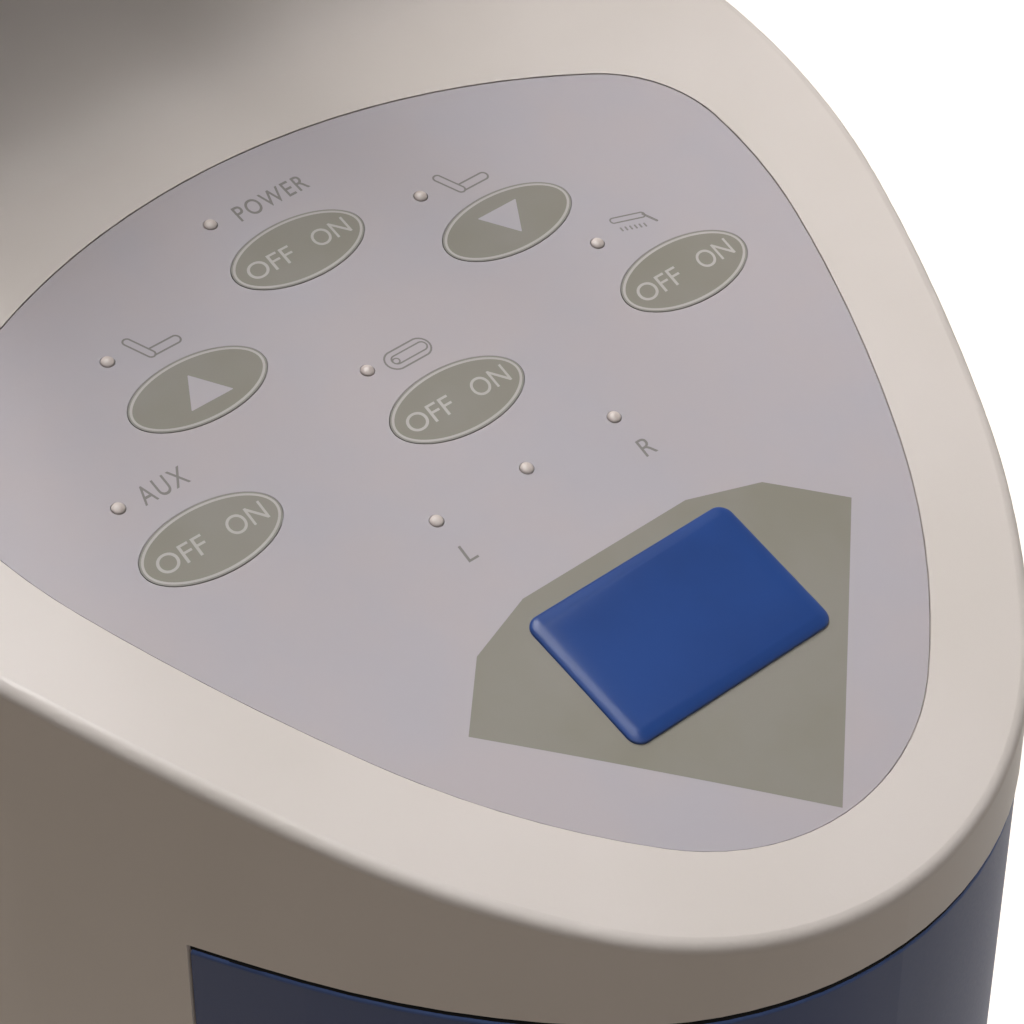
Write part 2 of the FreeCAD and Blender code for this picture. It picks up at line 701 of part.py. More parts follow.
def column_trim():
    """Grommet ring that closes the deck round the column."""
    bore = COLUMN_RADIUS + SLIP_GAP
    spigot = COLUMN_RADIUS + TRIM_WIDTH / 2 - TRIM_FIT
    points = [(bore, DECK_Z - SHELL_WALL), (spigot, DECK_Z - SHELL_WALL), (spigot, DECK_Z)]
    points += [(COLUMN_RADIUS + TRIM_WIDTH, DECK_Z), (COLUMN_RADIUS + TRIM_WIDTH, DECK_Z + TRIM_HEIGHT / 2)]
    points += [(COLUMN_RADIUS + TRIM_WIDTH / 2, DECK_Z + TRIM_HEIGHT), (bore, DECK_Z + TRIM_HEIGHT)]
    return turned(points)


# Chassis and electrics.
def chassis_frame():
    """Two tube uprights, two shelves and the board's pressed-in standoffs."""
    side = UPRIGHT_SIDE - 2 * UPRIGHT_WALL
    frame = None
    for x in (-UPRIGHT_X, UPRIGHT_X):
        tube = block((UPRIGHT_SIDE, UPRIGHT_SIDE, UPRIGHT_TOP - PLATE_TOP), (x, UPRIGHT_Y), PLATE_TOP)
        tube = tube.cut(block((side, side, UPRIGHT_TOP - PLATE_TOP), (x, UPRIGHT_Y), PLATE_TOP))
        frame = tube if frame is None else frame.fuse(tube)
    front = UPRIGHT_Y + UPRIGHT_SIDE / 2
    for z in SHELF_HEIGHTS:
        size = (2 * UPRIGHT_X + UPRIGHT_SIDE, SHELF_BACK - front, SHELF_THICK)
        frame = frame.fuse(block(size, (0, (SHELF_BACK + front) / 2), z))
    inset = 4 * STANDOFF_RADIUS
    for x, y in corners((BOARD_SIZE[0] - inset, BOARD_SIZE[1] - inset)):
        foot = V(x, SHELF_LOAD_Y + y, SHELF_HEIGHTS[1] + SHELF_THICK)
        frame = frame.fuse(rod(STANDOFF_RADIUS, STANDOFF_HEIGHT, foot))
    return frame.removeSplitter()


def column_clamp():
    """Bored block that ties the upper shelf to the column."""
    z = SHELF_HEIGHTS[1] - CLAMP_SIZE[2]
    return block(CLAMP_SIZE, (0, CLAMP_Y), z).cut(rod(COLUMN_RADIUS + SLIP_GAP, CLAMP_SIZE[2], V(0, 0, z)))


def power_supply():
    box = block(SUPPLY_SIZE, (0, SHELF_LOAD_Y), SHELF_HEIGHTS[0] + SHELF_THICK)
    return fillet_where(box, BRACKET_THICK, lambda e: abs(e.Vertexes[0].Z - e.Vertexes[1].Z) > 1)


def board_z():
    return SHELF_HEIGHTS[1] + SHELF_THICK + STANDOFF_HEIGHT


def control_board():
    board = block(BOARD_SIZE, (0, SHELF_LOAD_Y), board_z())
    for x, y in corners((BOARD_SIZE[0] / 2, BOARD_SIZE[1] / 2)):
        part = block(BOARD_PART_SIZE, (x, SHELF_LOAD_Y + y / 2), board_z() + BOARD_SIZE[2])
        board = board.fuse(part)
    return board.removeSplitter()


def panel_bracket(side, z):
    """Folded bracket from a chassis upright to the back of the front panel."""
    face = UPRIGHT_Y - UPRIGHT_SIDE / 2
    x = side * UPRIGHT_X
    inner = FRONT_RECESS + FRONT_THICK
    reach = block((BRACKET_SIDE, 2 * BODY_HALF_WIDTH, BRACKET_SIDE), (x, face - BODY_HALF_WIDTH), z)
    room = body_prism(inner, z, z + BRACKET_SIDE)
    pad = reach.common(room.cut(body_prism(inner + BRACKET_THICK, z, z + BRACKET_SIDE)))
    web = block((BRACKET_THICK, 2 * BODY_HALF_WIDTH, BRACKET_SIDE), (x, face - BODY_HALF_WIDTH), z)
    foot = block((BRACKET_SIDE, BRACKET_THICK, BRACKET_SIDE), (x, face - BRACKET_THICK / 2), z)
    return pad.fuse(web.common(room)).fuse(foot).removeSplitter()


def along_gland(radius, start, length):
    """A cylinder along the gland's axis, which leaves the back wall square to it."""
    turn = math.radians(GLAND_TURN)
    out = V(math.cos(turn), math.sin(turn), 0)
    return rod(radius, length, out * (BODY_HALF_WIDTH + start) + V(0, 0, GLAND_HEIGHT), out)


def cable_gland():
    """Blanked cable gland through the wall of one side shell."""
    bulge = GLAND_NUT_RADIUS**2 / (2 * (BODY_HALF_WIDTH - SHELL_WALL))
    inner = -SHELL_WALL - GLAND_NUT_HEIGHT - FACE_GAP - bulge
    gland = along_gland(GLAND_BODY_RADIUS, inner, GLAND_CAP_HEIGHT - inner)
    gland = gland.fuse(along_gland(GLAND_NUT_RADIUS, FACE_GAP, GLAND_NUT_HEIGHT))
    gland = gland.fuse(along_gland(GLAND_NUT_RADIUS, inner, GLAND_NUT_HEIGHT))
    shoulder = FACE_GAP + GLAND_NUT_HEIGHT
    cap = along_gland(GLAND_NUT_RADIUS - GLAND_CAP_STEP, shoulder, GLAND_CAP_HEIGHT - GLAND_NUT_HEIGHT)
    return gland.fuse(cap).removeSplitter()


# Hubs, bushes and collars shared by both swing arms.
def stop_collar(z):
    """Split clamp ring that carries a hub."""
    collar = ring(COLLAR_RADIUS, COLUMN_RADIUS + SLIP_GAP, COLLAR_HEIGHT, V(0, 0, z))
    return collar.cut(block((COLLAR_SPLIT, COLLAR_RADIUS, COLLAR_HEIGHT), (0, COLLAR_RADIUS / 2), z))


def hub_bushes(z, height):
    """Two plain bushes pressed into a hub, running on the column."""
    bore = COLUMN_RADIUS + RUN_GAP
    lows = (z, z + height - BUSH_LENGTH)
    return [ring(bore + BUSH_WALL, bore, BUSH_LENGTH, V(0, 0, low)) for low in lows]


# Instrument table.
def section(x, z, size, corner):
    """Upright rounded section of an arm at distance x."""
    wire = rounded_rectangle(size[1], size[0], corner)
    wire.rotate(V(0, 0, 0), Y_AXIS, 90)
    wire.translate(V(x, 0, z))
    return wire


def table_arm():
    """Cast swing arm: hub on the column, cranked down to the pad that carries the saddle."""
    middle = TABLE_HUB_Z + TABLE_HUB_HEIGHT / 2
    tip = SADDLE_Z - TABLE_ARM_TIP[1] / 2
    hub = rod(HUB_RADIUS, TABLE_HUB_HEIGHT, V(0, 0, TABLE_HUB_Z))
    hub = fillet_where(hub, BUSH_WALL, lambda e: e.Curve.TypeId == "Part::GeomCircle")
    end = TABLE_REACH + SADDLE_SIZE[0] / 2
    parts = [(0.0, middle, TABLE_ARM_ROOT), (TABLE_CRANK[0], middle, TABLE_ARM_ROOT)]
    parts += [(TABLE_CRANK[1], tip, TABLE_ARM_TIP), (end, tip, TABLE_ARM_TIP)]
    arm = Part.makeLoft([section(x, z, size, TABLE_ARM_CORNER) for x, z, size in parts], True, True)
    arm = arm.fuse(hub).removeSplitter()
    arm = arm.cut(rod(HUB_BORE, 2 * TABLE_HUB_HEIGHT, V(0, 0, TABLE_HUB_Z - TABLE_HUB_HEIGHT / 2)))
    return arm.cut(rod(LEVER_STEM_RADIUS + RUN_GAP, 2 * HUB_RADIUS, V(0, 0, middle), -Y_AXIS))


def table_saddle():
    """Plate on the arm's pad with four linear bearings for the rails."""
    saddle = block(SADDLE_SIZE, (TABLE_REACH, 0), SADDLE_Z)
    for x, y in corners((2 * BEARING_X, 2 * RAIL_Y)):
        saddle = saddle.fuse(block(BEARING_SIZE, (TABLE_REACH + x, y), SADDLE_Z + SADDLE_SIZE[2]))
    for y in (-RAIL_Y, RAIL_Y):
        start = V(TABLE_REACH - RAIL_HALF_LENGTH, y, RAIL_Z)
        saddle = saddle.cut(rod(RAIL_RADIUS + RUN_GAP, 2 * RAIL_HALF_LENGTH, start, X_AXIS))
    return saddle


def table_rail(y):
    return rod(RAIL_RADIUS, 2 * RAIL_HALF_LENGTH, V(TABLE_REACH - RAIL_HALF_LENGTH, y, RAIL_Z), X_AXIS)


def rail_end(side, y):
    x = TABLE_REACH + side * (RAIL_HALF_LENGTH - RAIL_END_SIZE[0] / 2)
    end = block(RAIL_END_SIZE, (x, y), TABLE_Z - RAIL_END_SIZE[2])
    bore = V(x - RAIL_END_SIZE[0], y, RAIL_Z)
    return end.cut(rod(RAIL_RADIUS + SLIP_GAP, 2 * RAIL_END_SIZE[0], bore, X_AXIS))


def table_slab(inset):
    size = (TABLE_TOP_SIZE[0] - 2 * inset, TABLE_TOP_SIZE[1] - 2 * inset)
    wire = rounded_rectangle(*size, TABLE_TOP_CORNER - inset, TABLE_Z)
    slab = Part.Face(wire).extrude(V(0, 0, TABLE_TOP_SIZE[2]))
    slab.translate(V(TABLE_REACH, 0, 0))
    return slab


def table_edge():
    return table_slab(0.0).cut(table_slab(TABLE_EDGE_THICK))


def table_lever():
    """Clamp lever whose stem runs in the table hub and bears on the column."""
    z = TABLE_HUB_Z + TABLE_HUB_HEIGHT / 2
    inner = COLUMN_RADIUS + FACE_GAP
    outer = HUB_RADIUS + LEVER_STEM_OUT
    lever = rod(LEVER_STEM_RADIUS, outer - inner, V(0, -inner, z), -Y_AXIS)
    boss = rod(2 * LEVER_STEM_RADIUS, LEVER_STEM_OUT / 2, V(0, -outer, z), Y_AXIS)
    slope = V(0, -1, 1).normalize()
    grip = rod(LEVER_RADIUS, LEVER_LENGTH, V(0, -outer + LEVER_STEM_OUT / 4, z), slope)
    ball = Part.makeSphere(LEVER_BALL, V(0, -outer + LEVER_STEM_OUT / 4, z) + slope * LEVER_LENGTH)
    return lever.fuse(boss).fuse(grip).fuse(ball).removeSplitter()


# Phoropter arm.
def bar(a, b, half_wide):
    """Bar with round ends between two (x, z, radius) circles, as wide as twice half_wide in Y."""
    (xa, za, ra), (xb, zb, rb) = a, b
    span = math.hypot(xb - xa, zb - za)
    along = V((xb - xa) / span, 0, (zb - za) / span)
    across = V(-along.z, 0, along.x)
    lean = (ra - rb) / span
    out = math.sqrt(1 - lean * lean)
    wires = []
    ends = []
    for sign in (1, -1):
        normal = along * lean + across * (sign * out)
        ends.append((V(xa, 0, za) + normal * ra, V(xb, 0, zb) + normal * rb))
        wires.append(line(*ends[-1]))
    wires.append(Part.Arc(ends[0][0], V(xa, 0, za) - along * ra, ends[1][0]).toShape())
    wires.append(Part.Arc(ends[0][1], V(xb, 0, zb) + along * rb, ends[1][1]).toShape())
    solid = face_of(wires).extrude(V(0, 2 * half_wide, 0))
    solid.translate(V(0, -half_wide, 0))
    return solid


def cross_rod(radius, half_wide, x, z):
    return rod(radius, 2 * half_wide, V(x, -half_wide, z), Y_AXIS)


def ear_half_wide():
    return ARM_HALF_WIDE + EAR_GAP + EAR_THICK


def ears(x, z, root_x, root_z):
    """Pair of upright ears that take the beam's pin and the link's pin below it."""
    pair = bar((x, z, EAR_RADIUS), (x, z - LINK_DROP, EAR_RADIUS), ear_half_wide())
    pair = pair.fuse(bar((x, z - LINK_DROP / 2, EAR_RADIUS), (root_x, root_z, EAR_RADIUS), ear_half_wide()))
    slot = Part.makeBox(4 * HUB_RADIUS, 2 * (ARM_HALF_WIDE + EAR_GAP), 4 * HUB_RADIUS)
    slot.translate(V(x - 2 * HUB_RADIUS, -ARM_HALF_WIDE - EAR_GAP, z - LINK_DROP / 2 - 2 * HUB_RADIUS))
    pair = pair.cut(slot)
    for low in (0.0, LINK_DROP):
        pair = pair.cut(cross_rod(PIN_RADIUS + SLIP_GAP, 2 * ear_half_wide(), x, z - low))
    return pair


def phoropter_hub():
    x, z = ARM_PIVOT
    hub = rod(HUB_RADIUS, ARM_HUB_HEIGHT, V(0, 0, ARM_HUB_Z))
    hub = fillet_where(hub, BUSH_WALL, lambda e: e.Curve.TypeId == "Part::GeomCircle")
    fork = ears(x, z, 0.0, z - LINK_DROP / 2)
    hub = hub.fuse(fork).removeSplitter().cut(rod(HUB_BORE, ARM_HUB_HEIGHT, V(0, 0, ARM_HUB_Z)))
    middle = V(0, 0, ARM_HUB_Z + ARM_HUB_HEIGHT / 2)
    return hub.cut(rod(KNOB_STEM_RADIUS + RUN_GAP, 2 * HUB_RADIUS, middle, -X_AXIS))


def fork_pin(x, z):
    """Headed pin across a pair of ears."""
    half = ear_half_wide()
    pin = cross_rod(PIN_RADIUS, half + PIN_HEAD, x, z)
    for side in (-1, 1):
        head = rod(PIN_HEAD_RADIUS, PIN_HEAD, V(x, side * half, z), Y_AXIS * side)
        pin = pin.fuse(head)
    return pin.removeSplitter()


def beam_form(inset, half_wide):
    root = (*ARM_PIVOT, ARM_ROOT_RADIUS - inset)
    return bar(root, (*ARM_TIP, ARM_TIP_RADIUS - inset), half_wide)


def beam_pocket(inset, boss, half_wide):
    """The beam's side pocket, clear of the bosses round its pins."""
    pocket = beam_form(inset, half_wide)
    for x, z in (ARM_PIVOT, ARM_TIP):
        pocket = pocket.cut(cross_rod(boss, half_wide, x, z))
    return pocket


def phoropter_beam():
    """I-section beam: a rim and a middle web, bored at both ends."""
    beam = beam_form(0.0, ARM_HALF_WIDE)
    pocket = beam_pocket(ARM_WALL, ARM_BOSS_RADIUS, ARM_HALF_WIDE)
    beam = beam.cut(pocket.cut(beam_form(0.0, ARM_WEB / 2)))
    for x, z in (ARM_PIVOT, ARM_TIP):
        beam = beam.cut(cross_rod(PIN_RADIUS + RUN_GAP, ARM_HALF_WIDE, x, z))
    return beam


def beam_covers():
    """Two thin covers flush with the beam's sides, one in each pocket."""
    sheet = beam_pocket(ARM_WALL + ARM_COVER_FIT, ARM_BOSS_RADIUS + ARM_COVER_FIT, ARM_HALF_WIDE)
    return sheet.cut(beam_form(0.0, ARM_HALF_WIDE - ARM_COVER_THICK)).Solids


def level_link():
    """Lower bar of the parallelogram, which keeps the end block upright."""
    low = ARM_PIVOT[1] - LINK_DROP
    ends = (ARM_PIVOT[0], ARM_TIP[0])
    link = bar(*[(x, low, LINK_RADIUS) for x in ends], ARM_HALF_WIDE)
    for x in ends:
        link = link.cut(cross_rod(PIN_RADIUS + RUN_GAP, ARM_HALF_WIDE, x, low))
    return link


def block_top():
    return ARM_PIVOT[1] - LINK_DROP - END_BLOCK_CLEAR


def end_block():
    """Level block at the arm's tip: ears above, a bored barrel below."""
    x, z = ARM_TIP
    low = block_top() - END_BLOCK_HEIGHT
    barrel = rod(ear_half_wide(), END_BLOCK_HEIGHT, V(x, 0, low))
    barrel = fillet_where(barrel, BUSH_WALL, lambda e: e.Curve.TypeId == "Part::GeomCircle")
    block_shape = ears(x, z, x, low + END_BLOCK_HEIGHT / 2).fuse(barrel).removeSplitter()
    bore = SPINDLE_RADIUS + RUN_GAP + SPINDLE_BUSH_WALL + SLIP_GAP
    block_shape = block_shape.cut(rod(bore, END_BLOCK_HEIGHT, V(x, 0, low)))
    side = V(x, 0, low + END_BLOCK_HEIGHT / 2)
    return block_shape.cut(rod(KNOB_STEM_RADIUS + RUN_GAP, 2 * ear_half_wide(), side, X_AXIS))


def spindle_bush():
    x = ARM_TIP[0]
    low = block_top() - END_BLOCK_HEIGHT
    bore = SPINDLE_RADIUS + RUN_GAP
    bush = ring(bore + SPINDLE_BUSH_WALL, bore, END_BLOCK_HEIGHT, V(x, 0, low))
    side = V(x, 0, low + END_BLOCK_HEIGHT / 2)
    return bush.cut(rod(KNOB_STEM_RADIUS + RUN_GAP, 2 * ear_half_wide(), side, X_AXIS))


def phoropter_hanger():
    """Turning spindle with a disc and a bar that carries the phoropter's pin."""
    x = ARM_TIP[0]
    low = block_top() - END_BLOCK_HEIGHT - FACE_GAP
    hanger = rod(SPINDLE_RADIUS, block_top() + SPINDLE_NUT_HEIGHT - low, V(x, 0, low))
    disc = rod(HANGER_DISC_RADIUS, HANGER_DISC_HEIGHT, V(x, 0, low - HANGER_DISC_HEIGHT))
    size = (HANGER_BAR[0], HANGER_REACH, HANGER_BAR[1])
    arm = block(size, (x, -HANGER_REACH / 2), low - HANGER_DISC_HEIGHT)
    end = rod(HANGER_BAR[0] / 2, HANGER_BAR[1], V(x, -HANGER_REACH, low - HANGER_DISC_HEIGHT))
    pin = rod(MOUNT_PIN_RADIUS, MOUNT_PIN_LENGTH, V(x, -HANGER_REACH, low - HANGER_DISC_HEIGHT), -Z_AXIS)
    return hanger.fuse(disc).fuse(arm).fuse(end).fuse(pin).removeSplitter()


def spindle_nut():
    base = V(ARM_TIP[0], 0, block_top() + FACE_GAP)
    return ring(SPINDLE_NUT_RADIUS, SPINDLE_RADIUS + SLIP_GAP, SPINDLE_NUT_HEIGHT - FACE_GAP, base)


def grip_knob(tip, face, axis):
    """Scalloped knob on a stem that reaches in from face to tip along -axis."""
    reach = (face - tip).Length + KNOB_NECK
    knob = rod(KNOB_STEM_RADIUS, reach + KNOB_LENGTH / 2, tip, axis)
    base = face + axis * KNOB_NECK
    head = rod(KNOB_RADIUS, KNOB_LENGTH, base, axis)
    head = fillet_where(head, KNOB_STEM_RADIUS / 2, lambda e: e.Curve.TypeId == "Part::GeomCircle")
    across = axis.cross(Z_AXIS) if abs(axis.z) < 0.5 else X_AXIS
    for i in range(KNOB_GRIPS):
        turn = Rotation(axis, 360.0 * i / KNOB_GRIPS)
        place = base + turn.multVec(across) * (KNOB_RADIUS + KNOB_GRIP_RADIUS / 2)
        head = head.cut(rod(KNOB_GRIP_RADIUS, KNOB_LENGTH, place, axis))
    return knob.fuse(head).removeSplitter()


def hanger_knob():
    """Clamp knob of the spindle, on the outer side of the end block."""
    x = ARM_TIP[0]
    height = block_top() - END_BLOCK_HEIGHT / 2
    tip = V(x + SPINDLE_RADIUS + FACE_GAP, 0, height)
    return grip_knob(tip, V(x + ear_half_wide(), 0, height), X_AXIS)


def hub_knob():
    """Clamp knob of the arm's hub, at the back of the column."""
    height = ARM_HUB_Z + ARM_HUB_HEIGHT / 2
    return grip_knob(V(-COLUMN_RADIUS - FACE_GAP, 0, height), V(-HUB_RADIUS, 0, height), -X_AXIS)


# Overhead lamp.
def lamp_hub():
    """Plug that turns in the column's top, with a boss for the lamp tube."""
    spigot = COLUMN_RADIUS - COLUMN_WALL - RUN_GAP
    low = COLUMN_TOP - LAMP_SPIGOT
    top = COLUMN_TOP + LAMP_CAP_HEIGHT
    bore = LAMP_TUBE_RADIUS + SLIP_GAP
    rest = COLUMN_TOP + FACE_GAP
    points = [(bore, low), (spigot, low), (spigot, rest), (LAMP_CAP_RADIUS, rest)]
    points += [(LAMP_CAP_RADIUS, top - LAMP_CAP_BEVEL), (LAMP_CAP_RADIUS - LAMP_CAP_BEVEL, top)]
    points += [(LAMP_BOSS_RADIUS, top)]
    points += [(LAMP_BOSS_RADIUS, top + LAMP_BOSS_HEIGHT), (bore, top + LAMP_BOSS_HEIGHT)]
    return turned(points)


def lamp_tube():
    """Bent tube: up from the hub, round one bend and out level."""
    low = V(0, 0, COLUMN_TOP - LAMP_SPIGOT / 2)
    turn = V(0, 0, LAMP_Z - LAMP_BEND)
    k = LAMP_BEND * math.sqrt(0.5)
    middle = V(LAMP_BEND - k, 0, turn.z + k)
    level = V(LAMP_BEND, 0, LAMP_Z)
    bend = Part.Arc(turn, middle, level).toShape()
    path = Part.Wire([line(low, turn), bend, line(level, V(LAMP_REACH, 0, LAMP_Z))])
    tubes = []
    for radius in (LAMP_TUBE_RADIUS, LAMP_TUBE_RADIUS - LAMP_TUBE_WALL):
        circle = Part.Wire(Part.Circle(low, Z_AXIS, radius).toShape())
        tubes.append(path.makePipeShell([circle], True, False))
    return tubes[0].cut(tubes[1])


def knuckle_x():
    return LAMP_REACH + KNUCKLE_RADIUS


def lamp_knuckle():
    """Plug in the tube's end with a cross barrel that the lamp head tilts on."""
    start = V(LAMP_REACH - KNUCKLE_PLUG, 0, LAMP_Z)
    fit = LAMP_TUBE_RADIUS - LAMP_TUBE_WALL - SLIP_GAP
    plug = rod(fit, KNUCKLE_PLUG + KNUCKLE_RADIUS, start, X_AXIS)
    barrel = cross_rod(KNUCKLE_RADIUS, KNUCKLE_HALF_WIDE, knuckle_x(), LAMP_Z)
    bore = cross_rod(LAMP_PIN_RADIUS + RUN_GAP, KNUCKLE_HALF_WIDE, knuckle_x(), LAMP_Z)
    return plug.fuse(barrel).cut(bore).removeSplitter()


def lamp_ear_half():
    return KNUCKLE_HALF_WIDE + EAR_GAP + LAMP_EAR_THICK


def shade_profile(inset):
    top = LAMP_Z - SHADE_DROP - inset
    low = LAMP_Z - SHADE_DROP - SHADE_HEIGHT
    belly = (SHADE_RADIUS + SHADE_NECK) / 2
    points = [(0, top), (SHADE_NECK - inset, top), (belly - inset, top - SHADE_HEIGHT / 6)]
    points += [(SHADE_RADIUS - SHADE_HEIGHT / 12 - inset, top - SHADE_HEIGHT / 2 + inset)]
    points += [(SHADE_RADIUS - inset, low + SHADE_HEIGHT / 6), (SHADE_RADIUS - inset, low), (0, low)]
    return turned(points, V(knuckle_x(), 0, 0))


def lamp_shade():
    """Spun shade with two ears over the knuckle."""
    shade = shade_profile(0.0)
    ear_ends = [(knuckle_x(), z, KNUCKLE_RADIUS) for z in (LAMP_Z, LAMP_Z - SHADE_DROP)]
    post = bar(*ear_ends, lamp_ear_half())
    gap = 2 * (KNUCKLE_HALF_WIDE + EAR_GAP)
    slot = block((4 * SHADE_NECK, gap, 2 * SHADE_DROP), (knuckle_x(), 0), LAMP_Z - SHADE_DROP)
    shade = shade.fuse(post.cut(slot)).removeSplitter()
    shade = shade.cut(shade_profile(SHADE_WALL))
    return shade.cut(cross_rod(LAMP_PIN_RADIUS + SLIP_GAP, 2 * lamp_ear_half(), knuckle_x(), LAMP_Z))


def lamp_pin():
    return cross_rod(LAMP_PIN_RADIUS, lamp_ear_half(), knuckle_x(), LAMP_Z)


def lamp_module():
    """Light source on its heat spreader, against the shade's roof."""
    top = LAMP_Z - SHADE_DROP - SHADE_WALL - BOND_GAP
    under = V(knuckle_x(), 0, top - LAMP_MODULE_THICK)
    roof = rod(SHADE_NECK - SHADE_WALL - BOND_GAP, LAMP_MODULE_THICK, under)
    plate = rod(LAMP_MODULE_RADIUS, SHADE_WALL, V(knuckle_x(), 0, top - LAMP_MODULE_THICK - SHADE_WALL))
    return roof.fuse(plate).removeSplitter()


def lamp_diffuser():
    low = LAMP_Z - SHADE_DROP - SHADE_HEIGHT
    return rod(SHADE_RADIUS - SHADE_WALL - SLIP_GAP, DIFFUSER_THICK, V(knuckle_x(), 0, low))


NODES = {
    "base_plate": [base_plate()],
    "base_cover": [base_cover()],
    "levelling_feet": [levelling_foot(x, y) for x, y in foot_places()],
    "column_socket": [column_socket()],
    "socket_bolts": [socket_bolt(place) for place in socket_bolt_places()],
    "column_tube": [column_tube()],
    "column_trim": [column_trim()],
    "chassis_frame": [chassis_frame()],
    "column_clamp": [column_clamp()],
    "power_supply": [power_supply()],
    "control_board": [control_board()],
    "panel_brackets": [panel_bracket(side, z) for side in (-1, 1) for z in BRACKET_HEIGHTS],
    "cable_gland": [cable_gland()],
    "pedestal_left": [pedestal_half(-1)],
    "pedestal_right": [pedestal_half(1)],
    "front_panel": [front_panel()],
    "console_shell": [console_shell()],
    "keypad_carrier": [keypad_carrier()],
    "switch_sheet": [switch_sheet()],
    "snap_domes": [snap_dome(place) for place in KEY_PLACES.values()],
    "keypad_backer": [keypad_backer()],
    "keypad_overlay": [keypad_overlay()],
    "indicator_lenses": [led_lens(place) for place in led_places()],
    "badge_plate": [badge_plate()],
    "stop_collars": [stop_collar(TABLE_COLLAR_Z), stop_collar(ARM_COLLAR_Z)],
    "table_arm": [table_arm()],
    "table_bushes": hub_bushes(TABLE_HUB_Z, TABLE_HUB_HEIGHT),
    "table_saddle": [table_saddle()],
    "table_lever": [table_lever()],
    "table_rails": [table_rail(y) for y in (-RAIL_Y, RAIL_Y)],
    "rail_ends": [rail_end(side, y) for side in (-1, 1) for y in (-RAIL_Y, RAIL_Y)],
    "table_top": [table_slab(TABLE_EDGE_THICK)],
    "table_edge": [table_edge()],
    "phoropter_hub": [phoropter_hub()],
    "phoropter_bushes": hub_bushes(ARM_HUB_Z, ARM_HUB_HEIGHT),
    "hub_pins": [fork_pin(ARM_PIVOT[0], ARM_PIVOT[1] - low) for low in (0.0, LINK_DROP)],
    "hub_knob": [hub_knob()],
    "phoropter_beam": [phoropter_beam()],
    "beam_covers": beam_covers(),
    "level_link": [level_link()],
    "end_block": [end_block()],
    "end_pins": [fork_pin(ARM_TIP[0], ARM_TIP[1] - low) for low in (0.0, LINK_DROP)],
    "spindle_bush": [spindle_bush()],
    "phoropter_hanger": [phoropter_hanger()],
    "spindle_nut": [spindle_nut()],
    "hanger_knob": [hanger_knob()],
    "lamp_hub": [lamp_hub()],
    "lamp_tube": [lamp_tube()],
    "lamp_knuckle": [lamp_knuckle()],
    "lamp_shade": [lamp_shade()],
    "lamp_pin": [lamp_pin()],
    "lamp_module": [lamp_module()],
    "lamp_diffuser": [lamp_diffuser()],
}
for name, place in KEY_PLACES.items():
    NODES[name] = [key(place)]

# The arm is drawn along +X like the table, and parked ahead of it.
ARM_NODES = ["phoropter_hub", "hub_pins", "hub_knob", "phoropter_beam", "beam_covers", "level_link"]
ARM_NODES += ["end_block", "end_pins", "spindle_bush", "phoropter_hanger", "spindle_nut", "hanger_knob"]
for name in ARM_NODES:
    for shape in NODES[name]:
        shape.rotate(V(0, 0, 0), Z_AXIS, ARM_PARKED)

os.makedirs("parts", exist_ok=True)
for name, shapes in NODES.items():
    solids = [solid for shape in shapes for solid in shape.Solids]
    whole = solids[0] if len(solids) == 1 else Part.makeCompound(solids)
    whole.exportStep("parts/" + name + ".step")
    print(name, len(solids), round(whole.Volume / 1000.0, 1))
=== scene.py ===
import math

import bpy
from mathutils import Matrix, Vector


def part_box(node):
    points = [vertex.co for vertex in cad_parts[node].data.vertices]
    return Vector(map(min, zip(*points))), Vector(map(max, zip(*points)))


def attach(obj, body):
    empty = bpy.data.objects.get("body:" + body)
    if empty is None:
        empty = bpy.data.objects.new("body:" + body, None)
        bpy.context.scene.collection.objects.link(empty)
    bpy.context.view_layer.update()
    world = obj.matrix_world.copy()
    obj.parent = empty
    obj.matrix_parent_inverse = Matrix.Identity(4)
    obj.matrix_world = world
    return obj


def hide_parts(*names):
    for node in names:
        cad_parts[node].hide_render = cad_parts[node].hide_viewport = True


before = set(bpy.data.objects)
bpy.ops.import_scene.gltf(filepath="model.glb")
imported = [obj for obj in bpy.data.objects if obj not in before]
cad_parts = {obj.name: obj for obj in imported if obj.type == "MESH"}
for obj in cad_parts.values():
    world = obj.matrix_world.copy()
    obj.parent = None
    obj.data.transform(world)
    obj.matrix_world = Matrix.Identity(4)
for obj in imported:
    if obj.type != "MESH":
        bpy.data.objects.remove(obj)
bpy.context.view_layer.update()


# Floor base: a steel plate on levelling feet under a drafted plastic cover.
# The cover is moulded in the same cream as the body and screwed down from above, under
# push-in plugs.
def linear(colour):
    """An sRGB hex colour as linear RGBA."""
    channels = [int(colour[i:i + 2], 16) / 255 for i in (0, 2, 4)]
    return [c / 12.92 if c <= 0.04045 else ((c + 0.055) / 1.055) ** 2.4 for c in channels] + [1.0]


def add(tree, kind, sockets=(), **settings):
    """One node with its properties, and its inputs as (socket, value or output) pairs."""
    node = tree.nodes.new(kind)
    for name, value in settings.items():
        setattr(node, name, value)
    for socket, value in sockets:
        if isinstance(value, bpy.types.NodeSocket):
            tree.links.new(value, node.inputs[socket])
        else:
            node.inputs[socket].default_value = value
    return node


